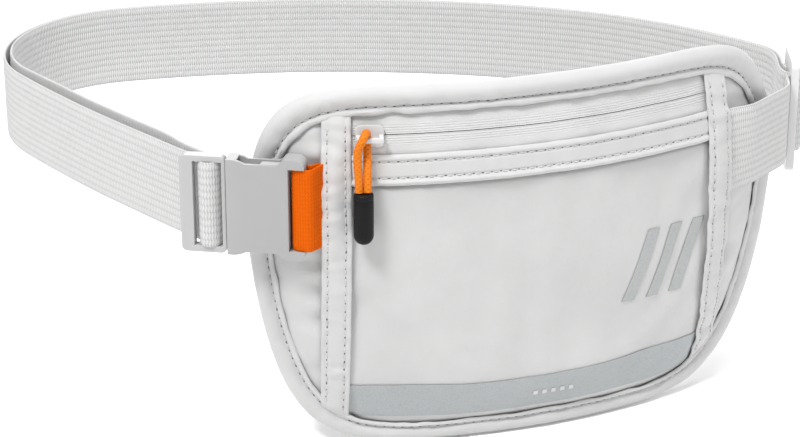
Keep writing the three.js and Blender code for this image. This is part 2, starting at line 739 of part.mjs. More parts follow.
// Round the plug's bar: in behind the plug's left edge, over the bar and back.
function plugWrap() {
  const buckle = { ...plugBar, heading: buckleHeading };
  const mainEnd = ringRun(ringLength - 1, ringLength, ringOut).at(-1);
  const returnEnd = ringRun(ringLength - 3, ringLength - 2, ringIn).at(-1);
  const step = (from, length) => ({
    x: from.x + length * Math.cos(ringEnd.heading),
    y: from.y + length * Math.sin(ringEnd.heading),
  });
  const over = localPoints(buckle, [
    [-5, -4.2], [-3.2, -1.6], [-2.9, 0.8], [-1.4, 2.4], [1.3, 2.4], [2.8, 1.3], [3, -0.2], [2.3, -1.8], [0.8, -2.9],
  ]);
  return ribbon([step(mainEnd, GAP), ...over, step(returnEnd, GAP)]);
}

add('plug_webbing_wrap', plugWrap(), webbingWeave);

export default belt;
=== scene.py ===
# The looks of a money belt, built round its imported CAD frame.
# Shapes are worked out in millimetres and written to meshes in metres.

import math
import random

import bmesh
import bpy
import numpy as np
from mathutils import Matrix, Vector, noise


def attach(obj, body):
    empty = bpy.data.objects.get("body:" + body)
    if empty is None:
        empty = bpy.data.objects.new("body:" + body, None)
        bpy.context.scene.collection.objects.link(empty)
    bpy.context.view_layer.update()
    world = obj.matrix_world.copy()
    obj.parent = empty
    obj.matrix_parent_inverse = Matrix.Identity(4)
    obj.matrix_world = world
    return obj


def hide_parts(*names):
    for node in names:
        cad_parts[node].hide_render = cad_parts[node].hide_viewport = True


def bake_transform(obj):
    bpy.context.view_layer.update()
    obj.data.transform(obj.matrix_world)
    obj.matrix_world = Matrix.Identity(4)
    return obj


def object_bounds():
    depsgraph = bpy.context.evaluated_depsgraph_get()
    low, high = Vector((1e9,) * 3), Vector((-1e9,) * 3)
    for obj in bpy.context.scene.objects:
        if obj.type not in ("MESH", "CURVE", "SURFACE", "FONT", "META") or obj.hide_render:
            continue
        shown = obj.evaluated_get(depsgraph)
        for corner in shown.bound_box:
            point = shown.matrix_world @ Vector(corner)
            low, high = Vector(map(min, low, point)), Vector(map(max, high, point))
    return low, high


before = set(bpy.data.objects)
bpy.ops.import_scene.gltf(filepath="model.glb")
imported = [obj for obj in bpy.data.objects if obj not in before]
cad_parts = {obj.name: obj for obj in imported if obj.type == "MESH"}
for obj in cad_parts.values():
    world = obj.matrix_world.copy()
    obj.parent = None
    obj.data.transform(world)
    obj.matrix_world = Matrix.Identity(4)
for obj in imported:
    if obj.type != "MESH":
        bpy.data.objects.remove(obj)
cad_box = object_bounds()
random.seed(7)

MM = 0.001
UP = Vector((0, 0, 1))

# ---- Driving dimensions

# The pouch is wrapped round an upright axis: s runs along it, depth out from the body, z up.
WRAP_AXIS_Y = 112
WRAP_RADIUS = 218
BACK_RADIUS = 212
SIDE_START = 76  # the side panels begin here, past the bands
RIGHT_EASE = (1.22, 1.06)  # the right side is cut wider: below, at the top

# Outlines: half width, top, bottom. The powers shape their corners: widths, heights.
WIDEST_Z = -11
ABOVE = (8.6, 2.2)
BELOW = (6.6, 1.4)
FULLER_LEFT = (1.04, 1.18)  # the left corners are squarer than the right ones: above, below
OUTLINE = (103.4, 40, -92.7)
OPENING = (94.6, 30.6, -85.7)
TUCKED = (95.8, 31.8, -86.9)  # the panels' edges, under the binding's lip

# The front's fullness.
EDGE_DEPTH = 2.2
EDGE_RISE = 0.8
PUFF = 7.5
FULLNESS = 0.6
FLAT_HALF = 66
FABRIC = 0.8
SLACK = (-1.4, 1.6)  # how far the simulated cloth may move in and out

# Seam bands.
SEAM_CENTRE = 71.8
SEAM_WIDTH = 9.3
INSIDE_BANDS = SEAM_CENTRE - SEAM_WIDTH / 2 + 1.6
BAND_BASE = 1.2
BAND_LEAN = 1.7  # the left band leans outwards at its foot
LEFT_LIFT = 1.5  # over the two layers of the orange loop
RIGHT_LIFT = 0.8  # over the main webbing
BAND_ROWS = (-3.0, 3.0)  # the two rows of stitches, off the band's middle

# Zip, welt and strip.
ZIP_Z = 23.4
ZIP_GAP = 0.7
TAPE_SINK = 0.35  # the zip tapes lie this far in from the pouch's own skin
TAPE_EDGES = (12.5, 31.6)
COIL = {"turns": 120, "steps": 14, "off": 0.75, "half": 0.62, "depth": 3.55, "deep": 0.52, "wire": 0.17}
WELT = (6.7, 16.6)
WELT_HEIGHT = WELT[1] - WELT[0]
WELT_ROWS = (2.3, 7.9)  # its two rows of stitches, up from its lower edge
STRIP = (-83.2, -70.4, 1.6)  # low, high, rise at its ends
MOTIF_BAR = {"first": 31.5, "apart": 10, "width": 5, "slant": 10, "low": -48, "high": -22}
STRIP_DOT = {"first": -1.5, "apart": 3.4, "half": 0.8, "z": -77.2}

# Stitching.
STITCH_PITCH = 3.2
STITCH_LENGTH = 2.2
THREAD_RADIUS = 0.3
# The needle holes are dark lenses of painted shade.
HOLE_SHADE_RADIUS = 0.52

# Zip slider and pull cord.
SLIDER_S = -60.5
BAR_DEPTH = 10.4
CORD_DIAMETER = 2.8
CAP = {"radius": 3.45, "length": 18.5, "shift": -2.55, "depth": 13.9, "top": 6}

# Webbing and buckle. The ring of webbing is walked in legs of (length, turn in degrees).
WEBBING_WIDTH = 30
WEBBING_THICKNESS = 1.3
TAB_WIDTH = 29
TAB_THICKNESS = 1.05
LAYER = 0.8  # each of the two layers lies this far off the ring's line
HANG = (2.8, 1.2)  # the inner layer's slack near the buckle: inwards, up
RIB_PITCH = 2.5
TAB_PITCH = 1.45
RING_START = (77.4, -96.9, 32.5)
RING_LEGS = [
    (33, 0), (8, 36), (28, 0), (16, 47), (36, 10),
    (58, 20), (171, 31), (99, 109), (52, 6), (54, 2),
]
TRI_GLIDE_STATION = 54
TRI_GLIDE_LIFT = 2.6
SPLIT_STATION = 178
BUCKLE_HEADING = -29
BUCKLE_REACH = (8.6, 7.5)

CAMERA = {"place": (-306.8, -825.5, 309.1), "heading": 19.51, "pitch": 22.32, "lens": 110.0}
WORLD_STRENGTH = 0.46
LIGHTS = [  # name, place and size in metres, power in watts
    ("overhead", (-0.1, -0.3, 1.6), 1.1, 14),
    ("key", (-0.8, -0.6, 1.35), 0.45, 22),
    ("fill", (1.25, -0.7, 0.7), 0.8, 6),
    ("rear", (0.5, 1.5, 0.9), 1.0, 14),
]


# ---- Small helpers

def clamp(value, low=0.0, high=1.0):
    return max(low, min(high, value))


def mix(a, b, part):
    return a + (b - a) * part


def smooth_step(value):
    t = clamp(value)
    return t * t * (3 - 2 * t)


def rough(x, y, z=0.0, scale=1.0):
    """Smooth noise from -1 to 1 at a place given in millimetres."""
    return noise.noise(Vector((x, y, z)) * scale)


def hill(value, width):
    """1 at 0, falling smoothly to nothing a few widths away."""
    return math.exp(-(value / width) ** 2)


def catmull(points, step):
    """A smooth line through the points, in steps of about the given length."""
    points = [Vector(p) for p in points]
    ends = [2 * points[0] - points[1]] + points + [2 * points[-1] - points[-2]]
    line = []
    for i in range(1, len(ends) - 2):
        a, b, c, d = ends[i - 1:i + 3]
        count = max(1, round((c - b).length / step))
        for k in range(count):
            t = k / count
            line.append(0.5 * ((2 * b) + (c - a) * t + (2 * a - 5 * b + 4 * c - d) * t * t
                               + (3 * b - a - 3 * c + d) * t ** 3))
    line.append(points[-1])
    return line


def run_lengths(points):
    """The distance along a line to each of its points."""
    lengths = [0.0]
    for a, b in zip(points, points[1:]):
        lengths.append(lengths[-1] + (b - a).length)
    return lengths


# ---- The pouch's surface

def wrap(s, depth, z):
    """A point on the pouch: s along its curve, depth out from the body, height z."""
    if s > SIDE_START:
        s = SIDE_START + (s - SIDE_START) * mix(*RIGHT_EASE, smooth_step((z + 10) / 45))
    angle = s / WRAP_RADIUS
    radius = BACK_RADIUS + depth
    return Vector((radius * math.sin(angle), WRAP_AXIS_Y - radius * math.cos(angle), z))


def outward(s):
    angle = s / WRAP_RADIUS
    return Vector((math.sin(angle), -math.cos(angle), 0))


def along(s):
    angle = s / WRAP_RADIUS
    return Vector((math.cos(angle), math.sin(angle), 0))


def edge_z(shape, s, side):
    """The height of an outline's upper or lower edge at s."""
    half, top, bottom = shape
    across_power, up_power = ABOVE if side > 0 else BELOW
    if s < 0:
        across_power *= FULLER_LEFT[0 if side > 0 else 1]
    rise = (top if side > 0 else bottom) - WIDEST_Z
    across = clamp(abs(s) / half)
    return WIDEST_Z + rise * (1 - across ** across_power) ** (1 / up_power)


def low_edge(s):
    return edge_z(TUCKED, s, -1)


def high_edge(s):
    return edge_z(TUCKED, s, 1)


def outline_point(shape, angle):
    """The point of an outline at an angle round it, as s and z."""
    half, top, bottom = shape
    c, n = math.cos(angle), math.sin(angle)
    across_power, up_power = ABOVE if n > 0 else BELOW
    if c < 0:
        across_power *= FULLER_LEFT[0 if n > 0 else 1]
    rise = top - WIDEST_Z if n > 0 else WIDEST_Z - bottom
    s = half * math.copysign(abs(c) ** (2 / across_power), c)
    z = WIDEST_Z + rise * math.copysign(abs(n) ** (2 / up_power), n)
    return s, z


def even_angles(shape, count):
    """Angles that divide an outline into equal lengths."""
    fine = 7200
    places = np.array([outline_point(shape, 2 * math.pi * i / fine) for i in range(fine + 1)])
    lengths = np.concatenate([[0], np.cumsum(np.hypot(*np.diff(places, axis=0).T))])
    wanted = np.arange(count) * lengths[-1] / count
    return [2 * math.pi * i / fine for i in np.interp(wanted, lengths, np.arange(fine + 1))]


def plain_skin(s, z):
    """The depth of the pouch's front before any slack, fold or seam."""
    low, high = low_edge(s), high_edge(s)
    up = clamp((z - low) / max(high - low, 1))
    across = clamp((abs(s) - FLAT_HALF) / (TUCKED[0] - FLAT_HALF))
    fullness = math.sin(math.pi * up) ** FULLNESS * (1 - across ** 2)
    return EDGE_DEPTH + EDGE_RISE * across + PUFF * fullness


DRAPE = {}  # the cloth simulation's result, filled in before the panels are made


def drape(s, z):
    """How far the simulated cloth moved out from the plain skin."""
    if not DRAPE:
        return 0.0
    field, half, low, high = (DRAPE[key] for key in ("field", "half", "low", "high"))
    columns, rows = field.shape[0] - 1, field.shape[1] - 1
    x = clamp((s + half) / (2 * half)) * columns
    y = clamp((z - low) / (high - low)) * rows
    i, j = min(int(x), columns - 1), min(int(y), rows - 1)
    fx, fy = x - i, y - j
    near = mix(field[i, j], field[i + 1, j], fx)
    far = mix(field[i, j + 1], field[i + 1, j + 1], fx)
    return float(mix(near, far, fy))


def creases(s, z):
    """Soft folds: broad ones over the front, sharper ones pulled out from the bands."""
    side = smooth_step((abs(s) - SIDE_START) / 6)
    room = smooth_step(min(z - low_edge(s), high_edge(s) - z) / 8)
    broad = 1.1 * rough(s, z * 1.4, 3.0, 0.028) + 0.22 * rough(s, z, 9.0, 0.09)
    broad += 0.45 * math.exp(-abs(abs(s) - FLAT_HALF - 1) / 5) * rough(s * 0.4, z, 14.0, 0.13)
    pulled = 0.45 * rough(s * 1.2, z * 2.6, 21.0, 0.06) + 0.25 * rough(s, z * 2, 5.0, 0.14)
    by_band = math.exp(-max(abs(s) - SIDE_START - 0.5, 0) / 7) * smooth_step((abs(s) - SIDE_START + 0.5) / 2)
    folds = 3.2 * by_band * rough(s * 0.25, z, 8.0, 0.15)
    return room * ((1 - side) * broad + side * pulled + folds)


def valley(s, z):
    """Cloth dips where it goes in under a band, the welt or the binding."""
    band = hill(abs(abs(s) - SEAM_CENTRE) - SEAM_WIDTH / 2 - 0.2, 1.1)
    welt = hill(z - WELT[0] + 0.4, 0.9) if abs(s) < SEAM_CENTRE - 4 else 0
    return -0.6 * band - 1.5 * welt


def skin(s, z):
    """The outer face of the pouch's front, off the body."""
    return plain_skin(s, z) + creases(s, z) + valley(s, z) + drape(s, z)


def band_lift(s, z):
    """The seam bands rise over the webbing that is sewn in under them."""
    outer = smooth_step((abs(s) - SEAM_CENTRE + 4.6) / 6)
    height = LEFT_LIFT if s < 0 else RIGHT_LIFT
    return height * outer * smooth_step((21 - abs(z)) / 7)


def band_shift(side, z):
    """How far along s a band strays from straight."""
    wave = 0.3 * rough(side * 50, z, 31, 0.12)
    lean = -BAND_LEAN * clamp((-z - 15) / 70) ** 1.5 if side < 0 else 0.0
    return wave + lean


# ---- Meshes

def add_object(name, data):
    made = bpy.data.objects.new(name, data)
    bpy.context.scene.collection.objects.link(made)
    return made


def shade(mesh, smooth_angle):
    """Smooth shading, with creases where faces meet at more than an angle in degrees."""
    mesh.polygons.foreach_set("use_smooth", [True] * len(mesh.polygons))
    mesh.set_sharp_from_angle(angle=math.radians(smooth_angle))


def make_mesh(name, vertices, faces, uvs=None, smooth_angle=48):
    """A mesh object from millimetre vertices. uvs holds one pair for each face corner."""
    mesh = bpy.data.meshes.new(name)
    mesh.from_pydata([tuple(v * MM) for v in vertices], [], faces)
    if uvs is not None:
        layer = mesh.uv_layers.new(name="metric")
        layer.data.foreach_set("uv", np.array(uvs, np.float32).ravel())
    mesh.validate()
    bm = bmesh.new()
    bm.from_mesh(mesh)
    bmesh.ops.recalc_face_normals(bm, faces=bm.faces)
    bm.to_mesh(mesh)
    bm.free()
    shade(mesh, smooth_angle)
    return add_object(name, mesh)


def ring_faces(rings, first=0, closed_path=False):
    """Faces through rings of points, with both ends closed unless the path is a loop."""
    around = len(rings[0])
    faces = []
    for i in range(len(rings) if closed_path else len(rings) - 1):
        here = first + i * around
        following = first + (i + 1) % len(rings) * around
        for j in range(around):
            k = (j + 1) % around
            faces.append((here + j, following + j, following + k, here + k))
    if not closed_path:
        last = first + (len(rings) - 1) * around
        faces.append(tuple(first + j for j in reversed(range(around))))
        faces.append(tuple(last + j for j in range(around)))
    return faces


def loft(name, rings, closed_path=False, u_values=None, v_values=None, smooth_angle=48):
    """A closed solid through rings of points, with its own measured UVs in millimetres."""
    around = len(rings[0])
    if u_values is None:
        centres = [sum(ring, Vector()) / around for ring in rings]
        u_values = run_lengths(centres + centres[:1] if closed_path else centres)
    if v_values is None:
        middle = rings[len(rings) // 2]
        v_values = run_lengths(list(middle) + [middle[0]])
    uvs = []
    for u0, u1 in zip(u_values, u_values[1:]):
        for v0, v1 in zip(v_values, v_values[1:]):
            uvs += [(u0, v0), (u1, v0), (u1, v1), (u0, v1)]
    if not closed_path:
        uvs += [(u_values[0], v_values[j]) for j in reversed(range(around))]
        uvs += [(u_values[-1], v_values[j]) for j in range(around)]
    vertices = [p for ring in rings for p in ring]
    return make_mesh(name, vertices, ring_faces(rings, 0, closed_path), uvs, smooth_angle)


def strip_ring(points, normals, thickness, rounding=3):
    """A flat strip's closed section: out along its outer face, back along its inner one."""
    if not hasattr(thickness, "__len__"):
        thickness = [thickness] * len(points)
    section = list(zip(points, normals, thickness))

    def round_end(i, towards, turn):
        half = thickness[i] / 2
        return [points[i] + normals[i] * (turn * half * math.cos(a)) + towards * (half * math.sin(a))
                for a in (math.pi * k / (rounding + 1) for k in range(1, rounding + 1))]

    ring = [p + n * (t / 2) for p, n, t in section]
    ring += round_end(-1, (points[-1] - points[-2]).normalized(), 1)
    ring += [p - n * (t / 2) for p, n, t in reversed(section)]
    ring += round_end(0, (points[0] - points[1]).normalized(), -1)
    return ring


def pouch_strip(name, s_values, height, depth, thickness, rows):
    """A strip lying on the pouch: height(s) gives its low and high edge, and depth(s, z, part)
    where its middle lies."""
    rings = []
    for s in s_values:
        low, high = height(s)
        points = []
        for j in range(rows + 1):
            z = mix(low, high, j / rows)
            points.append(wrap(s, depth(s, z, j / rows), z))
        rings.append(strip_ring(points, [outward(s)] * len(points), thickness))
    return loft(name, rings)


def heading_at(line, i):
    """The direction of a line at one of its points."""
    return (line[min(i + 1, len(line) - 1)] - line[max(i - 1, 0)]).normalized()


def turns(count):
    """Angles that divide a full turn evenly."""
    return [2 * math.pi * k / count for k in range(count)]


def circle(centre, across, up, count):
    return [centre + across * math.cos(t) + up * math.sin(t) for t in turns(count)]


def span(start, end, step):
    """Even values from start to end, about a step apart."""
    count = max(2, round(abs(end - start) / step))
    return [mix(start, end, i / count) for i in range(count + 1)]


def point_along(points, lengths, distance):
    """The point at a distance along a line, and the number of the step that it is in."""
    i = int(clamp(np.searchsorted(lengths, distance) - 1, 0, len(points) - 2))
    part = (distance - lengths[i]) / max(lengths[i + 1] - lengths[i], 1e-6)
    return points[i].lerp(points[i + 1], part), i


# A stitch's place, swell and lift along it, and the swell and lift into the cloth of a needle hole's dark
# lens of painted shade.
STITCH_PROFILE = [(0, 0.35, -1), (0.18, 0.9, -0.1), (0.5, 1, 0.45), (0.82, 0.9, -0.1), (1, 0.35, -1)]
HOLE_SHADE_PROFILE = [(0.55, 0.16), (1.0, -0.06), (0.5, -0.4)]


def stitch_rings(points, normals, lengths, middle):
    """A rounded dash of thread, half sunk in the cloth."""
    a, i = point_along(points, lengths, middle - STITCH_LENGTH / 2)
    b, j = point_along(points, lengths, middle + STITCH_LENGTH / 2)
    side = (b - a).normalized().cross(normals[i]).normalized()
    rings = []
    for part, swell, lift in STITCH_PROFILE:
        normal = normals[i].lerp(normals[j], part).normalized()
        centre = a.lerp(b, part) + normal * (lift * THREAD_RADIUS - 0.1 + THREAD_RADIUS * 0.4)
        radius = THREAD_RADIUS * swell
        rings.append(circle(centre, side * radius, normal * radius, 6))
    return rings


def hole_shade_rings(points, normals, lengths, middle):
    """A pricked dimple between two stitches: a small dark lens of painted shade lying in the cloth."""
    centre, i = point_along(points, lengths, middle)
    normal = normals[i].normalized()
    direction = (points[i + 1] - points[i]).normalized()
    side = direction.cross(normal).normalized()
    size = HOLE_SHADE_RADIUS * random.uniform(0.7, 1.15)
    rings = []
    for swell, lift in HOLE_SHADE_PROFILE:
        radius = size * swell
        rings.append(circle(centre + normal * (lift * size), side * (0.8 * radius), direction * radius, 8))
    return rings


def stitches_or_hole_shades(name, rows, hole_shades):
    """Small bodies along seam lines, each a line of (point, normal): stitches, or dark lenses of painted
    shade in the needle holes.
    """
    vertices, faces = [], []
    for line in rows:
        points, normals = zip(*line)
        lengths = run_lengths(points)
        count = int(lengths[-1] / STITCH_PITCH)
        for k in range(1 if hole_shades else 0, count):
            if hole_shades:
                rings = hole_shade_rings(points, normals, lengths, k * lengths[-1] / count)
            else:
                middle = (k + 0.5) * lengths[-1] / count + random.uniform(-0.12, 0.12)
                rings = stitch_rings(points, normals, lengths, middle)
            faces += ring_faces(rings, len(vertices))
            vertices += [p for ring in rings for p in ring]
    return make_mesh(name, vertices, faces, smooth_angle=80)


def rounded_copy(name, node, width, segments):
    """A CAD piece with its edges rounded as a moulding's are."""
    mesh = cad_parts[node].data.copy()
    mesh.name = name
    mesh.materials.clear()
    bm = bmesh.new()
    bm.from_mesh(mesh)
    bmesh.ops.remove_doubles(bm, verts=bm.verts, dist=1e-6)
    bmesh.ops.dissolve_limit(bm, angle_limit=math.radians(1), verts=bm.verts, edges=bm.edges)
    bm.normal_update()
    sharp = [e for e in bm.edges if len(e.link_faces) == 2 and e.calc_face_angle() > math.radians(30)]
    bmesh.ops.bevel(bm, geom=sharp, offset=width * MM, segments=segments, profile=0.6,
                    affect="EDGES", clamp_overlap=True)
    bmesh.ops.triangulate(bm, faces=[f for f in bm.faces if len(f.verts) > 4])
    bm.to_mesh(mesh)
    bm.free()
    shade(mesh, 35)
    return add_object(name, mesh)


# ---- Materials

class Nodes:
    """A material's node tree, with short calls for the nodes that the finishes share."""

    def __init__(self, name, **values):
        self.material = bpy.data.materials.new(name)
        self.material.use_nodes = True
        self.tree = self.material.node_tree
        self.shader = self.tree.nodes["Principled BSDF"]
        for key, value in values.items():
            self.shader.inputs[key.replace("_", " ")].default_value = value

    def node(self, kind, **inputs):
        """A node with its inputs fed by name, or by number as i0, i1 and so on."""
        made = self.tree.nodes.new(kind)
        for key, value in inputs.items():
            slot = made.inputs[int(key[1:])] if key[0] == "i" and key[1:].isdigit() else made.inputs[key]
            self.feed(slot, value)
        return made

    def feed(self, slot, value):
        """Links a socket to a node's output, or sets it to a value."""
        if isinstance(value, bpy.types.NodeSocket):
            self.tree.links.new(value, slot)
        else:
            slot.default_value = value

    def place(self):
        return self.node("ShaderNodeTexCoord").outputs["Object"]

    def metric(self):
        """The piece's own measured coordinates: along and across, in millimetres."""
        uv = self.tree.nodes.new("ShaderNodeUVMap")
        uv.uv_map = "metric"
        split = self.node("ShaderNodeSeparateXYZ", i0=uv.outputs[0])
        return split.outputs[0], split.outputs[1]

    def maths(self, operation, a, b=0.0, c=0.0):
        made = self.tree.nodes.new("ShaderNodeMath")
        made.operation = operation
        for slot, value in zip(made.inputs, (a, b, c)):
            self.feed(slot, value)
        return made.outputs[0]

    def wave(self, value, pitch, phase=0.0):
        """A sine wave from -1 to 1 along a value in millimetres."""
        turned = self.maths("MULTIPLY_ADD", value, 2 * math.pi / pitch, phase)
        return self.maths("SINE", turned)

    def noise(self, scale, detail=2.0, roughness=0.5, place=None):
        made = self.node("ShaderNodeTexNoise", Vector=place or self.place(), Scale=scale, Detail=detail,
                         Roughness=roughness)
        return made.outputs["Fac"]

    def ramp(self, fac, low, high, start=0.3, end=0.7):
        made = self.node("ShaderNodeValToRGB", Fac=fac)
        first, last = made.color_ramp.elements
        first.position, last.position = start, end
        first.color, last.color = (*low, 1), (*high, 1)
        return made.outputs["Color"]

    def blend(self, fac, a, b, kind="MIX"):
        made = self.tree.nodes.new("ShaderNodeMix")
        made.data_type = "RGBA"
        made.blend_type = kind
        self.feed(made.inputs["Factor"], fac)
        self.feed(made.inputs["A"], a)
        self.feed(made.inputs["B"], b)
        return made.outputs["Result"]

    def colour(self, value):
        self.feed(self.shader.inputs["Base Color"], value)

    def roughness(self, fac, low, high):
        made = self.node("ShaderNodeMapRange", Value=fac)
        made.inputs["To Min"].default_value = low
        made.inputs["To Max"].default_value = high
        self.feed(self.shader.inputs["Roughness"], made.outputs[0])

    def bump(self, height, distance, strength=1.0):
        """Adds a layer of relief, its distance in millimetres."""
        before = self.shader.inputs["Normal"].links
        made = self.node("ShaderNodeBump", Height=height, Distance=distance * MM, Strength=strength)
        if before:
            self.feed(made.inputs["Normal"], before[0].from_socket)
        self.feed(self.shader.inputs["Normal"], made.outputs[0])


def tint(colour, factor):
    """A colour made lighter or darker."""
    return tuple(clamp(c * factor) for c in colour)


def shell_cloth(name, colour, sheen=0.25):
    m = Nodes(name, Sheen_Weight=sheen, Sheen_Roughness=0.45, IOR=1.45, Specular_IOR_Level=0.35)
    patches = m.noise(42, 4.0, 0.6)
    m.colour(m.ramp(patches, tint(colour, 0.955), tint(colour, 1.02)))
    m.roughness(m.noise(160, 2.0), 0.55, 0.7)
    x, y = m.metric()
    weave = m.maths("MULTIPLY", m.wave(x, 0.62), m.wave(y, 0.62))
    m.bump(weave, 0.035, 0.6)
    m.bump(m.noise(120, 5.0, 0.62), 0.35, 0.45)
    m.bump(m.noise(34, 3.0, 0.5), 1.1, 0.5)
    return m.material


def ribbed_webbing(name, colour, groove, pitch=RIB_PITCH, knot=0.9, depth=0.26, shine=0.3, sheen=0.2):
    """Woven webbing: ribs along it, each a plait of knots leaning the other way from its neighbour."""
    m = Nodes(name, Sheen_Weight=sheen, Sheen_Roughness=0.5, Specular_IOR_Level=shine)
    u, v = m.metric()
    rib = m.maths("ABSOLUTE", m.wave(v, 2 * pitch))
    lean = m.maths("MULTIPLY", m.wave(v, pitch), 0.8)
    plait = m.wave(u, knot, lean)
    fine = m.maths("MULTIPLY", m.wave(u, knot / 2), m.wave(v, pitch / 4))
    height = m.maths("ADD", m.maths("MULTIPLY", rib, 0.42), m.maths("MULTIPLY", plait, 0.36))
    height = m.maths("MULTIPLY_ADD", fine, 0.24, height)
    shade = m.maths("MULTIPLY_ADD", m.noise(220, 3.0), 0.25, height)
    # The ribs' valleys are painted darker towards the groove colour: painted shade, with random tone from the
    # noise.
    m.colour(m.ramp(shade, groove, colour, 0.02, 0.62))
    m.roughness(m.noise(300, 2.0), 0.68, 0.85)
    m.bump(height, depth, 0.9)
    m.bump(m.noise(60, 2.0), 0.5, 0.3)
    return m.material


def zip_tape_cloth(name, colour):
    m = Nodes(name, Sheen_Weight=0.15, Sheen_Roughness=0.5, Specular_IOR_Level=0.3)
    u, v = m.metric()
    knit = m.maths("MULTIPLY", m.wave(u, 0.8), m.wave(v, 0.5))
    shade = m.maths("MULTIPLY_ADD", knit, 0.35, m.noise(90, 3.0))
    # The knit's low loops are painted a little darker: painted shade, with random tone from the noise.
    m.colour(m.ramp(shade, tint(colour, 0.9), colour, 0.2, 0.7))
    m.roughness(m.noise(200), 0.6, 0.75)
    m.bump(knit, 0.08, 0.8)
    return m.material


def braided(name, colour, dark):
    """Braid of a round cord: two sets of strands crossing on the slant."""
    m = Nodes(name, Sheen_Weight=0.08, Sheen_Roughness=0.4, Specular_IOR_Level=0.25)
    u, v = m.metric()
    strands = [m.wave(u, 1.7, m.maths("MULTIPLY", v, slant)) for slant in (3.1, -3.1)]
    over = m.maths("MAXIMUM", *strands)
    # Where no strand rides over, the braid is painted darker: painted shade between the strands.
    m.colour(m.ramp(over, dark, colour, 0.0, 0.75))
    m.roughness(m.noise(400), 0.5, 0.7)
    m.bump(over, 0.11, 0.9)
    return m.material


def moulding(name, colour, roughness, specks=0.02, grain=0.05, shine=0.45):
    """Moulded plastic: fine spark-eroded grain, faint flow marks and a painted highlight lightening its sharp
    edges.
    """
    m = Nodes(name, IOR=1.46, Specular_IOR_Level=shine)
    flow = m.noise(25, 4.0, 0.6)
    base = m.ramp(flow, tint(colour, 1 - specks), tint(colour, 1 + specks))
    # Sharp edges are painted lighter by their pointiness: a painted highlight.
    edge = m.tree.nodes.new("ShaderNodeNewGeometry").outputs["Pointiness"]
    painted_edge_highlight = m.ramp(edge, (0, 0, 0), (1, 1, 1), 0.51, 0.6)
    m.colour(m.blend(painted_edge_highlight, base, (*tint(colour, 1.16), 1)))
    m.roughness(m.noise(900, 2.0), roughness - 0.06, roughness + 0.08)
    m.bump(m.noise(2600, 2.0), grain, 0.35)
    return m.material


def film(name, colour):
    """Retroreflective tape: a grey film under glass beads, in a faint honeycomb."""
    m = Nodes(name, Metallic=0.25, Specular_IOR_Level=0.5)
    cells = m.tree.nodes.new("ShaderNodeTexVoronoi")
    cells.feature = "DISTANCE_TO_EDGE"
    cells.inputs["Scale"].default_value = 900
    m.feed(cells.inputs["Vector"], m.place())
    honeycomb = m.ramp(cells.outputs["Distance"], tint(colour, 0.92), tint(colour, 1.04), 0.0, 0.12)
    drift = m.ramp(m.noise(30, 3.0), (0.93, 0.93, 0.93), (1.0, 1.0, 1.0))
    m.colour(m.blend(1, honeycomb, drift, "MULTIPLY"))
    m.roughness(m.noise(500), 0.38, 0.5)
    m.bump(m.noise(2000, 2.0), 0.03, 0.5)
    return m.material


def thread_finish(name, colour):
    m = Nodes(name, Sheen_Weight=0.2, Specular_IOR_Level=0.35)
    m.colour(m.ramp(m.noise(700, 2.0), tint(colour, 0.85), tint(colour, 1.06)))
    m.roughness(m.noise(900), 0.5, 0.7)
    m.bump(m.noise(3000, 2.0), 0.08, 0.6)
    return m.material


CLOTH = (0.50, 0.50, 0.498)
WEB = (0.62, 0.62, 0.616)
ORANGE = (0.66, 0.103, 0.0)
CORD_ORANGE = (0.66, 0.175, 0.001)

LOOKS = {
    "cloth": shell_cloth("shell cloth", CLOTH),
    "back_cloth": shell_cloth("back cloth", CLOTH, 0.15),
    # The webbing's groove colours are painted shade in its rib valleys.
    "webbing": ribbed_webbing("ribbed webbing", WEB, (0.43, 0.43, 0.428)),
    "orange_webbing": ribbed_webbing("orange webbing", ORANGE, (0.56, 0.085, 0.0), TAB_PITCH, 0.9, 0.12,
                                     shine=0.08, sheen=0.0),
    "tape": zip_tape_cloth("zip tape", (0.59, 0.59, 0.588)),
    # The braid's dark colour is painted shade between its strands.
    "cord": braided("braided cord", CORD_ORANGE, (0.60, 0.135, 0.001)),
    "grey_plastic": moulding("grey moulding", (0.40, 0.40, 0.40), 0.42),
    # The socket's copy of the grey moulding is made darker: painted shade.
    "shaded_grey_plastic": moulding("shaded grey moulding", (0.325, 0.325, 0.325), 0.46),
    "pale_plastic": moulding("pale moulding", (0.60, 0.60, 0.597), 0.34),
    "zip_plastic": moulding("zip moulding", (0.50, 0.50, 0.50), 0.4),
    "film": film("reflective film", (0.33, 0.348, 0.355)),
    "print": film("printed motif", (0.35, 0.362, 0.362)),
    "rubber": moulding("black rubber", (0.006, 0.006, 0.0065), 0.5, 0.1, 0.08, 0.16),
    # The needle holes' dark lenses are painted shade in the pits between stitches.
    "hole_shade": thread_finish("needle hole shade", (0.12, 0.12, 0.12)),
    "thread": thread_finish("thread", (0.50, 0.50, 0.497)),
    "foil": film("lining foil", (0.55, 0.56, 0.57)),
}


def dress(piece, look, slot, body, *nodes):
    """Gives a piece its finish and its body, and hides the CAD nodes that it stands for."""
    piece.data.materials.clear()
    piece.data.materials.append(LOOKS[look])
    if nodes:
        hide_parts(*nodes)
    if body:
        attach(piece, body)
    return piece


def dress_moulding(name, node, body, look, slot, width, segments):
    dress(rounded_copy(name, node, width, segments), look, slot, body, node)


def dress_pouch(piece, look, *nodes):
    return dress(piece, look, "shell_fabric", "pouch", *nodes)


def sew(name, rows):
    """A seam's thread, and dark lenses of painted shade in the pricks between its stitches."""
    dress_pouch(stitches_or_hole_shades(f"{name}_stitches", rows, False), "thread")
    dress_pouch(stitches_or_hole_shades(f"{name}_needle_hole_shade", rows, True), "hole_shade")


# ---- Camera

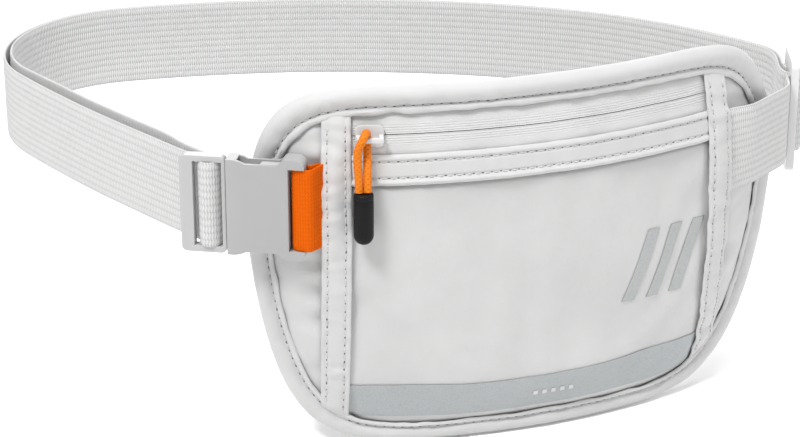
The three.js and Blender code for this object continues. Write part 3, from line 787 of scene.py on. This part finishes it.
def add_camera():
    data = bpy.data.cameras.new("camera")
    data.lens = CAMERA["lens"]
    data.sensor_width = 36
    data.clip_end = 20
    camera = add_object("camera", data)
    camera.location = Vector(CAMERA["place"]) * MM
    camera.rotation_euler = (math.radians(90 - CAMERA["pitch"]), 0, math.radians(-CAMERA["heading"]))
    bpy.context.scene.camera = camera


add_camera()


# ---- Pull cord

# The cord's line in the slider's own frame: along the zip, out from the bridge's bar, up.
CORD_ROUTE = [
    (-3.95, 3.5, -17.1), (-4.1, 2.95, -12), (-4.4, 2.6, -7), (-4.2, 2.5, -2.6), (-3.0, 2.45, 0.4),
    (-2.0, 1.5, 2.1), (-1.4, 0, 2.6), (-1.1, -1.6, 1.9), (-1.0, -2.3, 0), (-1.0, -2.1, -2.6),
    (-1.0, -1.0, -5.2), (-1.0, 0.9, -8.4), (-1.1, 2.5, -12.2), (-1.15, 3.5, -17.1),
]


def slider_point(forward, out, up):
    """A place in the slider's own frame: along the zip, out from the body, up."""
    place = wrap(SLIDER_S, 0, ZIP_Z)
    return place + along(SLIDER_S) * forward + outward(SLIDER_S) * out + UP * up


def pull_cord():
    line = catmull([slider_point(a, BAR_DEPTH + o, u) for a, o, u in CORD_ROUTE], 0.42)
    rings = []
    side = along(SLIDER_S)
    for i, p in enumerate(line):
        direction = heading_at(line, i)
        side = (side - direction * side.dot(direction)).normalized()
        other = direction.cross(side)
        ring = []
        for t in turns(20):
            radius = CORD_DIAMETER / 2 * (1 + 0.035 * math.cos(8 * t + 1.2 * i) * math.cos(8 * t - 1.2 * i))
            ring.append(p + (side * math.cos(t) + other * math.sin(t)) * radius)
        rings.append(ring)
    piece = loft("braided_pull_cord", rings)
    dress(piece, "cord", "orange_cord", "pull_cord", "pull_cord")
    return piece, line


cord_piece, cord_line = pull_cord()


def cord_cap():
    """A moulded rubber end: a slight shoulder, a shallow groove and a round tip."""
    radius, length = CAP["radius"], CAP["length"]
    profile = [(0.0, 0.0), (radius - 0.9, 0.0), (radius - 0.35, 0.12), (radius - 0.05, 0.5), (radius, 1.0),
               (radius, 1.7), (radius - 0.12, 1.95), (radius, 2.2)]
    profile += [(radius, h) for h in (4.5, 8.0, 11.5, length - radius - 0.5)]
    for k in range(10):
        a = math.pi / 2 * k / 9
        profile.append((radius * math.cos(a), length - radius + radius * math.sin(a)))
    top = slider_point(CAP["shift"], CAP["depth"], CAP["top"] - ZIP_Z)
    rings = []
    for r, down in profile:
        r = max(r, 0.02)
        rings.append(circle(top - UP * down, along(SLIDER_S) * r, outward(SLIDER_S) * r, 36))
    piece = make_mesh("cord_end_cap", [p for ring in rings for p in ring], ring_faces(rings), smooth_angle=50)
    return dress(piece, "rubber", "black_rubber", "pull_cord", "pull_cord_cap")


cap_piece = cord_cap()


# ---- Pouch cloth

DRAPE_SETTINGS = {
    "quality": 6, "mass": 0.15, "tension_stiffness": 12, "compression_stiffness": 12, "shear_stiffness": 4,
    "bending_stiffness": 0.6, "vertex_group_mass": "seams", "shrink_min": -0.012, "use_pressure": True,
    "uniform_pressure_force": 0.25,
}


def simulate_drape():
    """Lets a slightly oversized sheet settle over the pouch, held at its seams."""
    columns, rows = 66, 40
    half, low, high = TUCKED[0] * 0.985, TUCKED[2] + 1, WELT[1]
    vertices, pinned = [], []
    for i in range(columns + 1):
        s = mix(-half, half, i / columns)
        bottom = low_edge(s)
        for j in range(rows + 1):
            z = mix(low, high, j / rows)
            vertices.append(wrap(s, plain_skin(s, max(z, bottom)), z))
            at_seam = abs(abs(s) - SEAM_CENTRE) < 4.4
            at_edge = z < bottom + 2.5 or abs(s) > half - 1.5 or z > WELT[0] + 1
            pinned.append(1.0 if at_seam or at_edge else 0.0)
    faces = []
    for i in range(columns):
        for j in range(rows):
            a = i * (rows + 1) + j
            faces.append((a, a + rows + 1, a + rows + 2, a + 1))
    mesh = bpy.data.meshes.new("drape")
    mesh.from_pydata([tuple(v * MM) for v in vertices], [], faces)
    sheet = add_object("drape", mesh)
    group = sheet.vertex_groups.new(name="seams")
    for index, weight in enumerate(pinned):
        if weight:
            group.add([index], weight, "REPLACE")
    settings = sheet.modifiers.new("cloth", "CLOTH").settings
    for key, value in DRAPE_SETTINGS.items():
        setattr(settings, key, value)
    settings.effector_weights.gravity = 0.25
    scene = bpy.context.scene
    scene.frame_start, scene.frame_end = 1, 30
    for number in range(1, 25):
        scene.frame_set(number)
    evaluated = sheet.evaluated_get(bpy.context.evaluated_depsgraph_get())
    settled = np.array([v.co for v in evaluated.data.vertices]) / MM
    before = np.array([tuple(v) for v in vertices])
    radial = before[:, :2] - np.array([0, WRAP_AXIS_Y])
    radial /= np.linalg.norm(radial, axis=1)[:, None]
    moved = ((settled - before)[:, :2] * radial).sum(1)
    moved = np.clip(moved, *SLACK).reshape(columns + 1, rows + 1)
    for _ in range(3):
        padded = np.pad(moved, 1, mode="edge")
        moved = (padded[:-2, 1:-1] + padded[2:, 1:-1] + padded[1:-1, :-2] + padded[1:-1, 2:] + 2 * moved) / 6
    scene.frame_set(1)
    bpy.data.objects.remove(sheet)
    bpy.data.meshes.remove(mesh)
    DRAPE.update(field=moved, half=half, low=low, high=high)


simulate_drape()


def cloth_depth(s, z, part):
    return skin(s, z) - FABRIC / 2


def front_cloth():
    edge = SEAM_CENTRE + 1.2
    piece = pouch_strip("front_panel_cloth", span(-edge, edge, 1.4),
                        lambda s: (low_edge(s), WELT[1] - 1.5), cloth_depth, FABRIC, 110)
    return dress_pouch(piece, "cloth", "front_panel")


front_cloth()


def side_cloth(name, side):
    inner, outer = SEAM_CENTRE - 1.2, TUCKED[0] * 0.995
    count = 26
    values = [side * mix(inner, outer, math.sin(math.pi / 2 * i / count)) for i in range(count + 1)]
    piece = pouch_strip(f"{name}_side_cloth", values, lambda s: (low_edge(s), high_edge(s)),
                        cloth_depth, FABRIC, 80)
    return dress_pouch(piece, "cloth", f"{name}_side_panel")


side_cloth("left", -1)
side_cloth("right", 1)


def back_cloth():
    """The face against the body, quilted softly between its edges."""
    half = TUCKED[0] * 0.985

    def depth(s, z, part):
        room = smooth_step(min(part, 1 - part) * 8) * smooth_step((half - abs(s)) / 10)
        return 1.15 - room * (0.55 + 0.25 * rough(s, z, 40, 0.05))

    count = 60
    values = [half * math.sin(math.pi / 2 * mix(-1, 1, i / count)) for i in range(count + 1)]
    piece = pouch_strip("back_panel_cloth", values, lambda s: (low_edge(s), high_edge(s)), depth, 0.7, 40)
    return dress_pouch(piece, "back_cloth", "back_panel")


back_cloth()

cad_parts["shielding_liner"].data.materials.clear()
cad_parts["shielding_liner"].data.materials.append(LOOKS["foil"])


# ---- Seam bands

def band_depth(side, across, z):
    s = side * SEAM_CENTRE + across
    pucker = 0.7 * rough(s * 0.4, z, 13, 0.3) + 0.3 * rough(s, z, 19, 0.12)
    crown = 0.25 * (1 - (across / (SEAM_WIDTH / 2)) ** 2)
    groove = 0.3 * sum(hill(across - row, 0.55) for row in BAND_ROWS)
    lie = plain_skin(s, z) + 0.5 * creases(s, z) + band_lift(s, z) + BAND_BASE
    return lie + pucker + crown - groove


def band_point(side, across, part, lift=0.0):
    """A point of a seam band, part of the way up it, and its normal."""
    s = side * SEAM_CENTRE + across
    z = mix(low_edge(s) - 0.6, high_edge(s) + 0.4, part)
    return wrap(s + band_shift(side, z), band_depth(side, across, z) + lift, z), outward(s)


def seam_band(name, side):
    rows, columns = 130, 18
    rings = []
    for j in range(rows + 1):
        line = [band_point(side, SEAM_WIDTH * (i / columns - 0.5), j / rows) for i in range(columns + 1)]
        rings.append(strip_ring(*zip(*line), 0.9))
    piece = loft(f"{name}_seam_band_cloth", rings)
    return dress_pouch(piece, "cloth", f"{name}_seam_band")


def band_rows():
    rows = []
    for side in (-1, 1):
        for row in BAND_ROWS:
            rows.append([band_point(side, row, j / 120, 0.47) for j in range(3, 118)])
    return rows


seam_band("left", -1)
seam_band("right", 1)
sew("seam_band", band_rows())


# ---- Zip

def between_bands(step, inset=0):
    return span(-INSIDE_BANDS + inset, INSIDE_BANDS - inset, step)


def zip_tape(name, low, high):
    """A knitted tape with fine ridges beside its coil."""
    def depth(s, z, part):
        off = abs(z - ZIP_Z)
        ridge = 0.11 * math.sin(2 * math.pi * off / 0.8) * smooth_step((4.2 - off) / 1.5)
        return plain_skin(s, z) - TAPE_SINK + ridge + 0.35 * rough(s, z, 3, 0.07)

    piece = pouch_strip(f"{name}_cloth", between_bands(2), lambda s: (low, high),
                        depth, 0.55, 60)
    return dress_pouch(piece, "tape", name)


zip_tape("zip_tape_upper", ZIP_Z + ZIP_GAP / 2, TAPE_EDGES[1])
zip_tape("zip_tape_lower", TAPE_EDGES[0], ZIP_Z - ZIP_GAP / 2)


def zip_coil(name, side):
    """A nylon coil behind the tape's edge: one flattened loop for each tooth."""
    count = COIL["turns"] * COIL["steps"]
    line = []
    for i in range(count + 1):
        turn = 2 * math.pi * i / COIL["steps"]
        s = mix(-INSIDE_BANDS + 2, INSIDE_BANDS - 2, i / count)
        z = ZIP_Z + side * (COIL["off"] + COIL["half"] * math.cos(turn))
        line.append(wrap(s, COIL["depth"] + COIL["deep"] * math.sin(turn), z))
    rings = []
    for i, p in enumerate(line):
        direction = heading_at(line, i)
        first = direction.cross(UP if abs(direction.z) < 0.98 else Vector((0, 1, 0))).normalized()
        second = direction.cross(first)
        rings.append(circle(p, first * COIL["wire"], second * COIL["wire"], 5))
    piece = loft(f"{name}_teeth", rings, smooth_angle=80)
    return dress(piece, "zip_plastic", "zip_plastic", "pouch", name)


zip_coil("zip_coil_upper", 1)
zip_coil("zip_coil_lower", -1)
dress_moulding("zip_slider_moulding", "zip_slider", "zip_slider", "zip_plastic", "zip_plastic", 0.3, 2)


def welt_section(part):
    """The welt's relief across its height: rolled edges and two sewn-down rows."""
    height = part * WELT_HEIGHT
    groove = 0.35 * sum(hill(height - row, 0.5) for row in WELT_ROWS)
    return 0.5 * hill(height - 0.8, 0.7) + 0.35 * hill(height - WELT_HEIGHT + 0.8, 0.7) - groove


def welt_depth(s, z, part):
    pucker = 0.25 * rough(s, z * 0.4, 17, 0.14) + 0.3 * rough(s, z * 0.3, 18, 0.3)
    tuck = 0.9 * smooth_step((abs(s) - INSIDE_BANDS + 3) / 1.6)
    return plain_skin(s, z) + 0.75 + welt_section(part) + pucker - tuck


def zip_welt():
    piece = pouch_strip("zip_welt_cloth", between_bands(1.2), lambda s: WELT,
                        welt_depth, 1.0, 40)
    return dress_pouch(piece, "cloth", "zip_welt")


def welt_rows():
    rows = []
    for row in WELT_ROWS:
        z = WELT[0] + row
        rows.append([(wrap(s, welt_depth(s, z, row / WELT_HEIGHT) + 0.52, z), outward(s))
                     for s in between_bands(1.2, 2)])
    return rows


zip_welt()
sew("welt", welt_rows())


# ---- Reflective strip and motif

def strip_height(s):
    rise = STRIP[2] * (s / INSIDE_BANDS) ** 2
    return max(STRIP[0] + rise, low_edge(s) + 1.8), STRIP[1] + rise


def reflective_strip():
    piece = pouch_strip("reflective_strip_film", between_bands(1.8), strip_height,
                        lambda s, z, part: skin(s, z) + 0.3, 0.3, 30)
    return dress(piece, "film", "reflective_film", "pouch", "reflective_strip")


reflective_strip()


def printed_patch(name, corners, look="print", cells=14):
    """A thin printed shape on the front cloth, between four corners of (s, z)."""
    a, b, c, d = [Vector((s, z, 0)) for s, z in corners]
    over = 0.62 if a.y < STRIP[1] else 0.24
    rings = []
    for i in range(cells + 1):
        line = [a.lerp(d, i / cells).lerp(b.lerp(c, i / cells), j / cells) for j in range(cells + 1)]
        points = [wrap(p.x, skin(p.x, p.y) + over, p.y) for p in line]
        rings.append(strip_ring(points, [outward(p.x) for p in line], 0.14, 1))
    piece = loft(name, rings)
    return dress(piece, look, "reflective_film", "pouch")


def motif():
    """A generic ornament: three slanting bars, and a row of dots on the strip."""
    low, high = MOTIF_BAR["low"], MOTIF_BAR["high"]
    for k in range(3):
        s = MOTIF_BAR["first"] + MOTIF_BAR["apart"] * k
        e, slant = s + MOTIF_BAR["width"], MOTIF_BAR["slant"]
        printed_patch(f"motif_bar_{k + 1}", [(s, low), (e, low), (e + slant, high), (s + slant, high)])
    half, z = STRIP_DOT["half"], STRIP_DOT["z"]
    for k in range(5):
        s = STRIP_DOT["first"] + STRIP_DOT["apart"] * k
        corners = [(s - half, z - half), (s + half, z - half), (s + half, z + half), (s - half, z + half)]
        printed_patch(f"strip_dot_{k + 1}", corners, "tape", 4)


motif()


# ---- Edge binding

# The binding's section, from its outer rim over the front to its lip and back
# underneath: part of the way in, and depth.
BINDING_SECTION = [
    (0.0, 2.1), (0.02, 3.0), (0.08, 3.95), (0.17, 4.6), (0.3, 4.95), (0.45, 4.95), (0.58, 4.6),
    (0.67, 4.15), (0.72, 3.75), (0.755, 3.95), (0.79, 4.6), (0.85, 4.95), (0.93, 4.9), (0.985, 4.7),
    (1.0, 4.4), (0.985, 4.1), (0.93, 3.9), (0.8, 3.6), (0.77, 2.4), (0.77, 1.9), (0.8, 1.75),
    (0.95, 1.6), (1.0, 1.3), (0.985, 1.0), (0.93, 0.72), (0.85, 0.6), (0.79, 0.72), (0.75, 0.95),
    (0.72, 0.98), (0.66, 0.62), (0.5, 0.2), (0.3, 0.1), (0.15, 0.45), (0.06, 0.95), (0.02, 1.5),
]


def binding_place(angle, part, depth):
    """A point of the section, with the fullness and puckers of sewn cloth on its front."""
    (outer_s, outer_z), (inner_s, inner_z) = outline_point(OUTLINE, angle), outline_point(OPENING, angle)
    s, z = mix(outer_s, inner_s, part), mix(outer_z, inner_z, part)
    full = 0.6 * max(math.sin(angle), 0) ** 2
    front = smooth_step((depth - 2) / 2)
    waver = 0.55 * smooth_step((part - 0.76) / 0.2) * rough(s, z, 27, 0.16)
    s += waver * math.cos(angle)
    z += waver * math.sin(angle)
    body = math.sin(math.pi * clamp(part / 0.72))
    puff = full * body + 0.22 * body * rough(s, z, 2, 0.22) + 0.3 * body * rough(s, z, 6, 0.07)
    lip = smooth_step((part - 0.76) / 0.1) * 0.6 * rough(s, z, 11, 0.2)
    gather = 0.8 * hill(part - 0.62, 0.12) * rough(s, z, 24, 0.3)
    return wrap(s, depth + front * (puff + lip + gather), z)


BINDING_ANGLES = even_angles(OUTLINE, 520)


def edge_binding():
    rings = [[binding_place(angle, *place) for place in BINDING_SECTION] for angle in BINDING_ANGLES]
    piece = loft("edge_binding_cloth", rings, closed_path=True)
    return dress_pouch(piece, "cloth", "edge_binding")


def binding_rows():
    """One row of stitches along the front's groove, and one along the back's."""
    front, back = [], []
    for angle in BINDING_ANGLES + BINDING_ANGLES[:1]:
        normal = outward(outline_point(OUTLINE, angle)[0])
        front.append((binding_place(angle, 0.72, 3.85), normal))
        back.append((binding_place(angle, 0.735, 0.98), -normal))
    return [front, back]


edge_binding()
sew("binding", binding_rows())


# ---- Webbing ring

def walk_ring(step):
    """Stations along the ring: distance, place and heading."""
    x, y, heading = RING_START[0], RING_START[1], math.radians(RING_START[2])
    distance = 0.0
    found = [(distance, x, y, heading)]
    for length, turn in RING_LEGS:
        count = max(1, round(length / step))
        bend = math.radians(turn) / count
        for _ in range(count):
            x += length / count * math.cos(heading + bend / 2)
            y += length / count * math.sin(heading + bend / 2)
            heading += bend
            distance += length / count
            found.append((distance, x, y, heading))
    return found


STATIONS = walk_ring(1.5)
RING_LENGTH = STATIONS[-1][0]


def ring_at(distance):
    """The place and heading at a distance along the ring."""
    columns = list(zip(*STATIONS))
    return [float(np.interp(distance, columns[0], column)) for column in columns[1:]]


def ring_point(distance, offset):
    """A point off the ring's line, outwards; past its ends it runs straight on."""
    x, y, heading = ring_at(clamp(distance, 0, RING_LENGTH))
    beyond = distance - clamp(distance, 0, RING_LENGTH)
    x += beyond * math.cos(heading)
    y += beyond * math.sin(heading)
    return Vector((x + offset * math.sin(heading), y - offset * math.cos(heading), 0))


def ring_run(start, end, offset, step=2.2):
    """Points along the ring; the two layers part and meet a little as they go."""
    points = []
    for distance in span(start, end, step):
        slack = 0.35 * rough(distance, offset * 40, 1, 0.025)
        slack *= smooth_step((RING_LENGTH - distance) / 40) * smooth_step((distance - 100) / 30)
        points.append(ring_point(distance, offset + slack))
    return points


def local_points(x, y, heading, places):
    """Points given as (ahead, outwards) of a place on the ring."""
    c, n = math.cos(heading), math.sin(heading)
    return [Vector((x + a * c + o * n, y + a * n - o * c, 0)) for a, o in places]


def webbing(name, points, width=WEBBING_WIDTH, thickness=WEBBING_THICKNESS, start_u=0.0, pitch=RIB_PITCH,
            settle=None):
    """Webbing standing on edge along points seen from above, with its ribs in the mesh. settle gives
    how far out a point moves to lie on the cloth, by its distance from the start."""
    rows = 72
    rings = []
    lengths = run_lengths(points)
    for i, p in enumerate(points):
        direction = heading_at(points, i)
        normal = Vector((direction.y, -direction.x, 0))
        line, sizes = [], []
        for j in range(rows + 1):
            z = mix(-width / 2, width / 2, j / rows)
            edge = smooth_step((width / 2 - abs(z)) / 1.6)
            rib = abs(math.sin(math.pi * (z + width / 2) / pitch))
            out = settle(p, z, lengths[i], lengths[-1]) if settle else 0.0
            line.append(Vector((p.x, p.y, z + p.z)) + outward(surface_s(p)) * out)
            sizes.append(thickness * (0.66 + 0.18 * edge + 0.16 * rib * edge))
        rings.append(strip_ring(line, [normal] * len(line), sizes, 2))
    u_values = [start_u + length for length in lengths]
    round_it = run_lengths(list(rings[0]) + [rings[0][0]])
    v_values = [mix(0, 2 * width + 2 * thickness, v / round_it[-1]) for v in round_it]
    return loft(name, rings, u_values=u_values, v_values=v_values, smooth_angle=70)


def surface_s(p):
    return WRAP_RADIUS * math.atan2(p.x, WRAP_AXIS_Y - p.y)


def surface_depth(p):
    return math.hypot(p.x, WRAP_AXIS_Y - p.y) - BACK_RADIUS


def lie_on_cloth(p, z, over):
    """How far out a point has to move to lie on the cloth under it."""
    s = surface_s(p)
    return plain_skin(s, z) + 0.3 * creases(s, z) + over - surface_depth(p)


tri_x, tri_y, tri_heading = ring_at(TRI_GLIDE_STATION)
tri_centre = local_points(tri_x, tri_y, tri_heading, [(0, LAYER + TRI_GLIDE_LIFT)])[0]

# The webbing's way over the tri-glide's middle bar, up to its top: ahead, outwards.
THREAD = [(-13, -2.6), (-9, -2.6), (-7.4, -2.5), (-5.6, -0.8), (-4.4, 1.6), (-2.9, 3.6), (-1, 4.25)]


def thread_line(side):
    """Half of the run over the tri-glide's middle bar, from one end to its top."""
    places = [(side * -a, o) for a, o in THREAD] + [(0, 4.35)]
    return local_points(tri_centre.x, tri_centre.y, tri_heading, places)


def adjuster_piece(piece, side, *nodes):
    """Webbing at the tri-glide: given its finish, its CAD nodes hidden and its place baked into its mesh."""
    dress(piece, "webbing", "webbing", None, *nodes)
    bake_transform(piece)


def tab_webbing():
    """From under the right seam band to the top of the tri-glide's middle bar."""
    run = [ring_point(d, LAYER) for d in span(-3.5, TRI_GLIDE_STATION - 14, 2)]
    points = catmull(run + thread_line(-1)[1:], 1.2)

    def settle(p, z, run, whole):
        return lie_on_cloth(p, z, 0.55) * (1 - smooth_step((run - 1) / 16))

    piece = webbing("webbing_tab_end", points, start_u=-3.5, settle=settle)
    adjuster_piece(piece, -1, "main_webbing_tab", "main_webbing_threaded")


def adjuster_webbing():
    """From the top of the tri-glide's middle bar to the back of the ring."""
    run = ring_run(TRI_GLIDE_STATION + 14, SPLIT_STATION, LAYER)
    points = catmull(thread_line(1)[:0:-1] + run, 1.6)
    start = SPLIT_STATION - run_lengths(points)[-1]
    piece = webbing("webbing_past_adjuster", points, start_u=start)
    adjuster_piece(piece, 1)


# The sewn end's way round the same bar.
END_LOOP = [
    (-0.6, -3.5), (-2.5, -2.6), (-3.1, -0.8), (-2.7, 1.2), (-1.2, 2.1), (1.2, 2.1),
    (2.7, 1.2), (3.2, -0.6), (3.9, -1.7), (5.2, -2.5),
]


def return_webbing():
    """The sewn end: back along the inside, round the tri-glide's middle bar."""
    inner = -TRI_GLIDE_LIFT - 2 * LAYER
    loop = local_points(tri_centre.x, tri_centre.y, tri_heading, [(8.5, inner), (4.2, inner)] + END_LOOP)
    run = ring_run(TRI_GLIDE_STATION + 13, SPLIT_STATION, -LAYER)[::-1]
    points = catmull(run + loop, 1.6)
    piece = webbing("webbing_return_end", points, start_u=-SPLIT_STATION)
    adjuster_piece(piece, 1, "return_webbing_end_loop", "return_webbing_adjust")


ring_end = ring_at(RING_LENGTH)
buckle_heading = math.radians(BUCKLE_HEADING)
plug_bar = local_points(ring_end[0], ring_end[1], buckle_heading, [BUCKLE_REACH])[0]

# The webbing's way over the plug's bar and back.
PLUG_WRAP = [
    (-5, -4.2), (-3.2, -1.6), (-2.9, 0.8), (-1.4, 2.4), (1.3, 2.4), (2.8, 1.3),
    (3.5, -0.5), (4.5, -2.3), (4.9, -3.4), (4.0, -4.4), (1.2, -4.7),
]

# The orange loop's way round the socket's bar, ahead of the plug's.
SOCKET_WRAP = [
    (35.5, 2.15), (32.2, 2.25), (30.0, 1.75), (29.2, 0.6),
    (29.2, -0.6), (30.0, -1.75), (32.2, -2.25), (35.5, -2.15),
]


def hanging_run():
    """The inner layer hangs away from the outer one as it nears the buckle."""
    points = ring_run(SPLIT_STATION, RING_LENGTH - 2, -LAYER)
    places = span(SPLIT_STATION, RING_LENGTH - 2, 2.2)
    for p, distance in zip(points, places):
        slack = smooth_step((distance - RING_LENGTH + 165) / 90)
        heading = ring_at(distance)[2]
        p.x -= HANG[0] * slack * math.sin(heading)
        p.y += HANG[0] * slack * math.cos(heading)
        p.z += HANG[1] * slack * smooth_step((RING_LENGTH - 4 - distance) / 16)
    return points


def main_webbing():
    """Round the waist to the plug's bar, over it, and back on the inside."""
    out = ring_run(SPLIT_STATION, RING_LENGTH, LAYER)
    back = hanging_run()[::-1]
    over = local_points(plug_bar.x, plug_bar.y, buckle_heading, PLUG_WRAP)
    points = catmull(out + over + back, 1.6)
    piece = webbing("webbing_round_waist", points, start_u=SPLIT_STATION)
    dress(piece, "webbing", "webbing", None, "main_webbing_right", "main_webbing_left", "plug_webbing_wrap",
          "return_webbing_left", "return_webbing_right")
    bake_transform(piece)


tab_webbing()
adjuster_webbing()
return_webbing()
main_webbing()


def buckle_tab():
    """The orange loop: out from under the left seam band and round the socket's bar."""
    root = -(SEAM_CENTRE + SEAM_WIDTH / 2 - 2.5)
    outer = [wrap(root + 1.2, 10.7, 0), wrap(root - 1.5, 11.2, 0)]
    inner = [wrap(root - 1.5, 9.7, 0), wrap(root + 1.2, 9.4, 0)]
    turn = local_points(plug_bar.x, plug_bar.y, buckle_heading, SOCKET_WRAP)
    points = catmull(outer + turn + inner, 0.9)
    for p in points:
        p.z = 0

    def settle(p, z, run, whole):
        under = 1 - smooth_step((whole - run - 0.5) / 9)
        over = 1 - smooth_step((run - 0.5) / 9)
        return lie_on_cloth(p, z, 0.4) * under + lie_on_cloth(p, z, 1.45) * over

    piece = webbing("buckle_tab_cloth", points, TAB_WIDTH, TAB_THICKNESS, pitch=TAB_PITCH, settle=settle)
    return dress(piece, "orange_webbing", "orange_webbing", "pouch", "buckle_tab_webbing")


buckle_tab()


# ---- Buckle and strap adjuster

# Each moulding's name, its CAD node, body, finish and slot, and the rounding of its edges.
MOULDINGS = [
    ("buckle_plug_moulding", "buckle_plug", "waist_strap", "grey_plastic", "grey_plastic", 0.55, 3),
    ("upper_prong_moulding", "plug_prong_upper", "prong_upper", "grey_plastic", "grey_plastic", 0.4, 2),
    ("lower_prong_moulding", "plug_prong_lower", "prong_lower", "grey_plastic", "grey_plastic", 0.4, 2),
    ("buckle_socket_moulding", "buckle_socket", "pouch", "shaded_grey_plastic", "grey_plastic", 0.6, 3),
    ("tri_glide_moulding", "tri_glide", "tri_glide", "pale_plastic", "pale_plastic", 0.6, 3),
]

for values in MOULDINGS:
    dress_moulding(*values)


# ---- Floor and light

def add_floor():
    half = 6000
    level = cad_box[0][2] / MM - 0.6
    corners = [Vector((half * x, half * y, level)) for x, y in ((-1, -1), (1, -1), (1, 1), (-1, 1))]
    floor = make_mesh("floor", corners, [(0, 1, 2, 3)])
    m = Nodes("floor", Roughness=0.9, Specular_IOR_Level=0.1)
    m.colour(m.ramp(m.noise(3, 2.0), (0.93, 0.93, 0.93), (0.95, 0.95, 0.95)))
    floor.data.materials.append(m.material)


def add_light(name, place, size, power):
    data = bpy.data.lights.new(name, "AREA")
    data.shape = "DISK"
    data.size = size
    data.energy = power
    light = add_object(name, data)
    light.location = place
    aim = Vector((0, -0.03, 0)) - light.location
    light.rotation_euler = aim.to_track_quat("-Z", "Y").to_euler()


def add_world():
    world = bpy.data.worlds.new("studio")
    bpy.context.scene.world = world
    world.use_nodes = True
    background = world.node_tree.nodes["Background"]
    background.inputs["Color"].default_value = (1, 1, 1, 1)
    background.inputs["Strength"].default_value = WORLD_STRENGTH


add_floor()
add_world()
for light in LIGHTS:
    add_light(*light)
bpy.context.scene.view_settings.view_transform = "Standard"
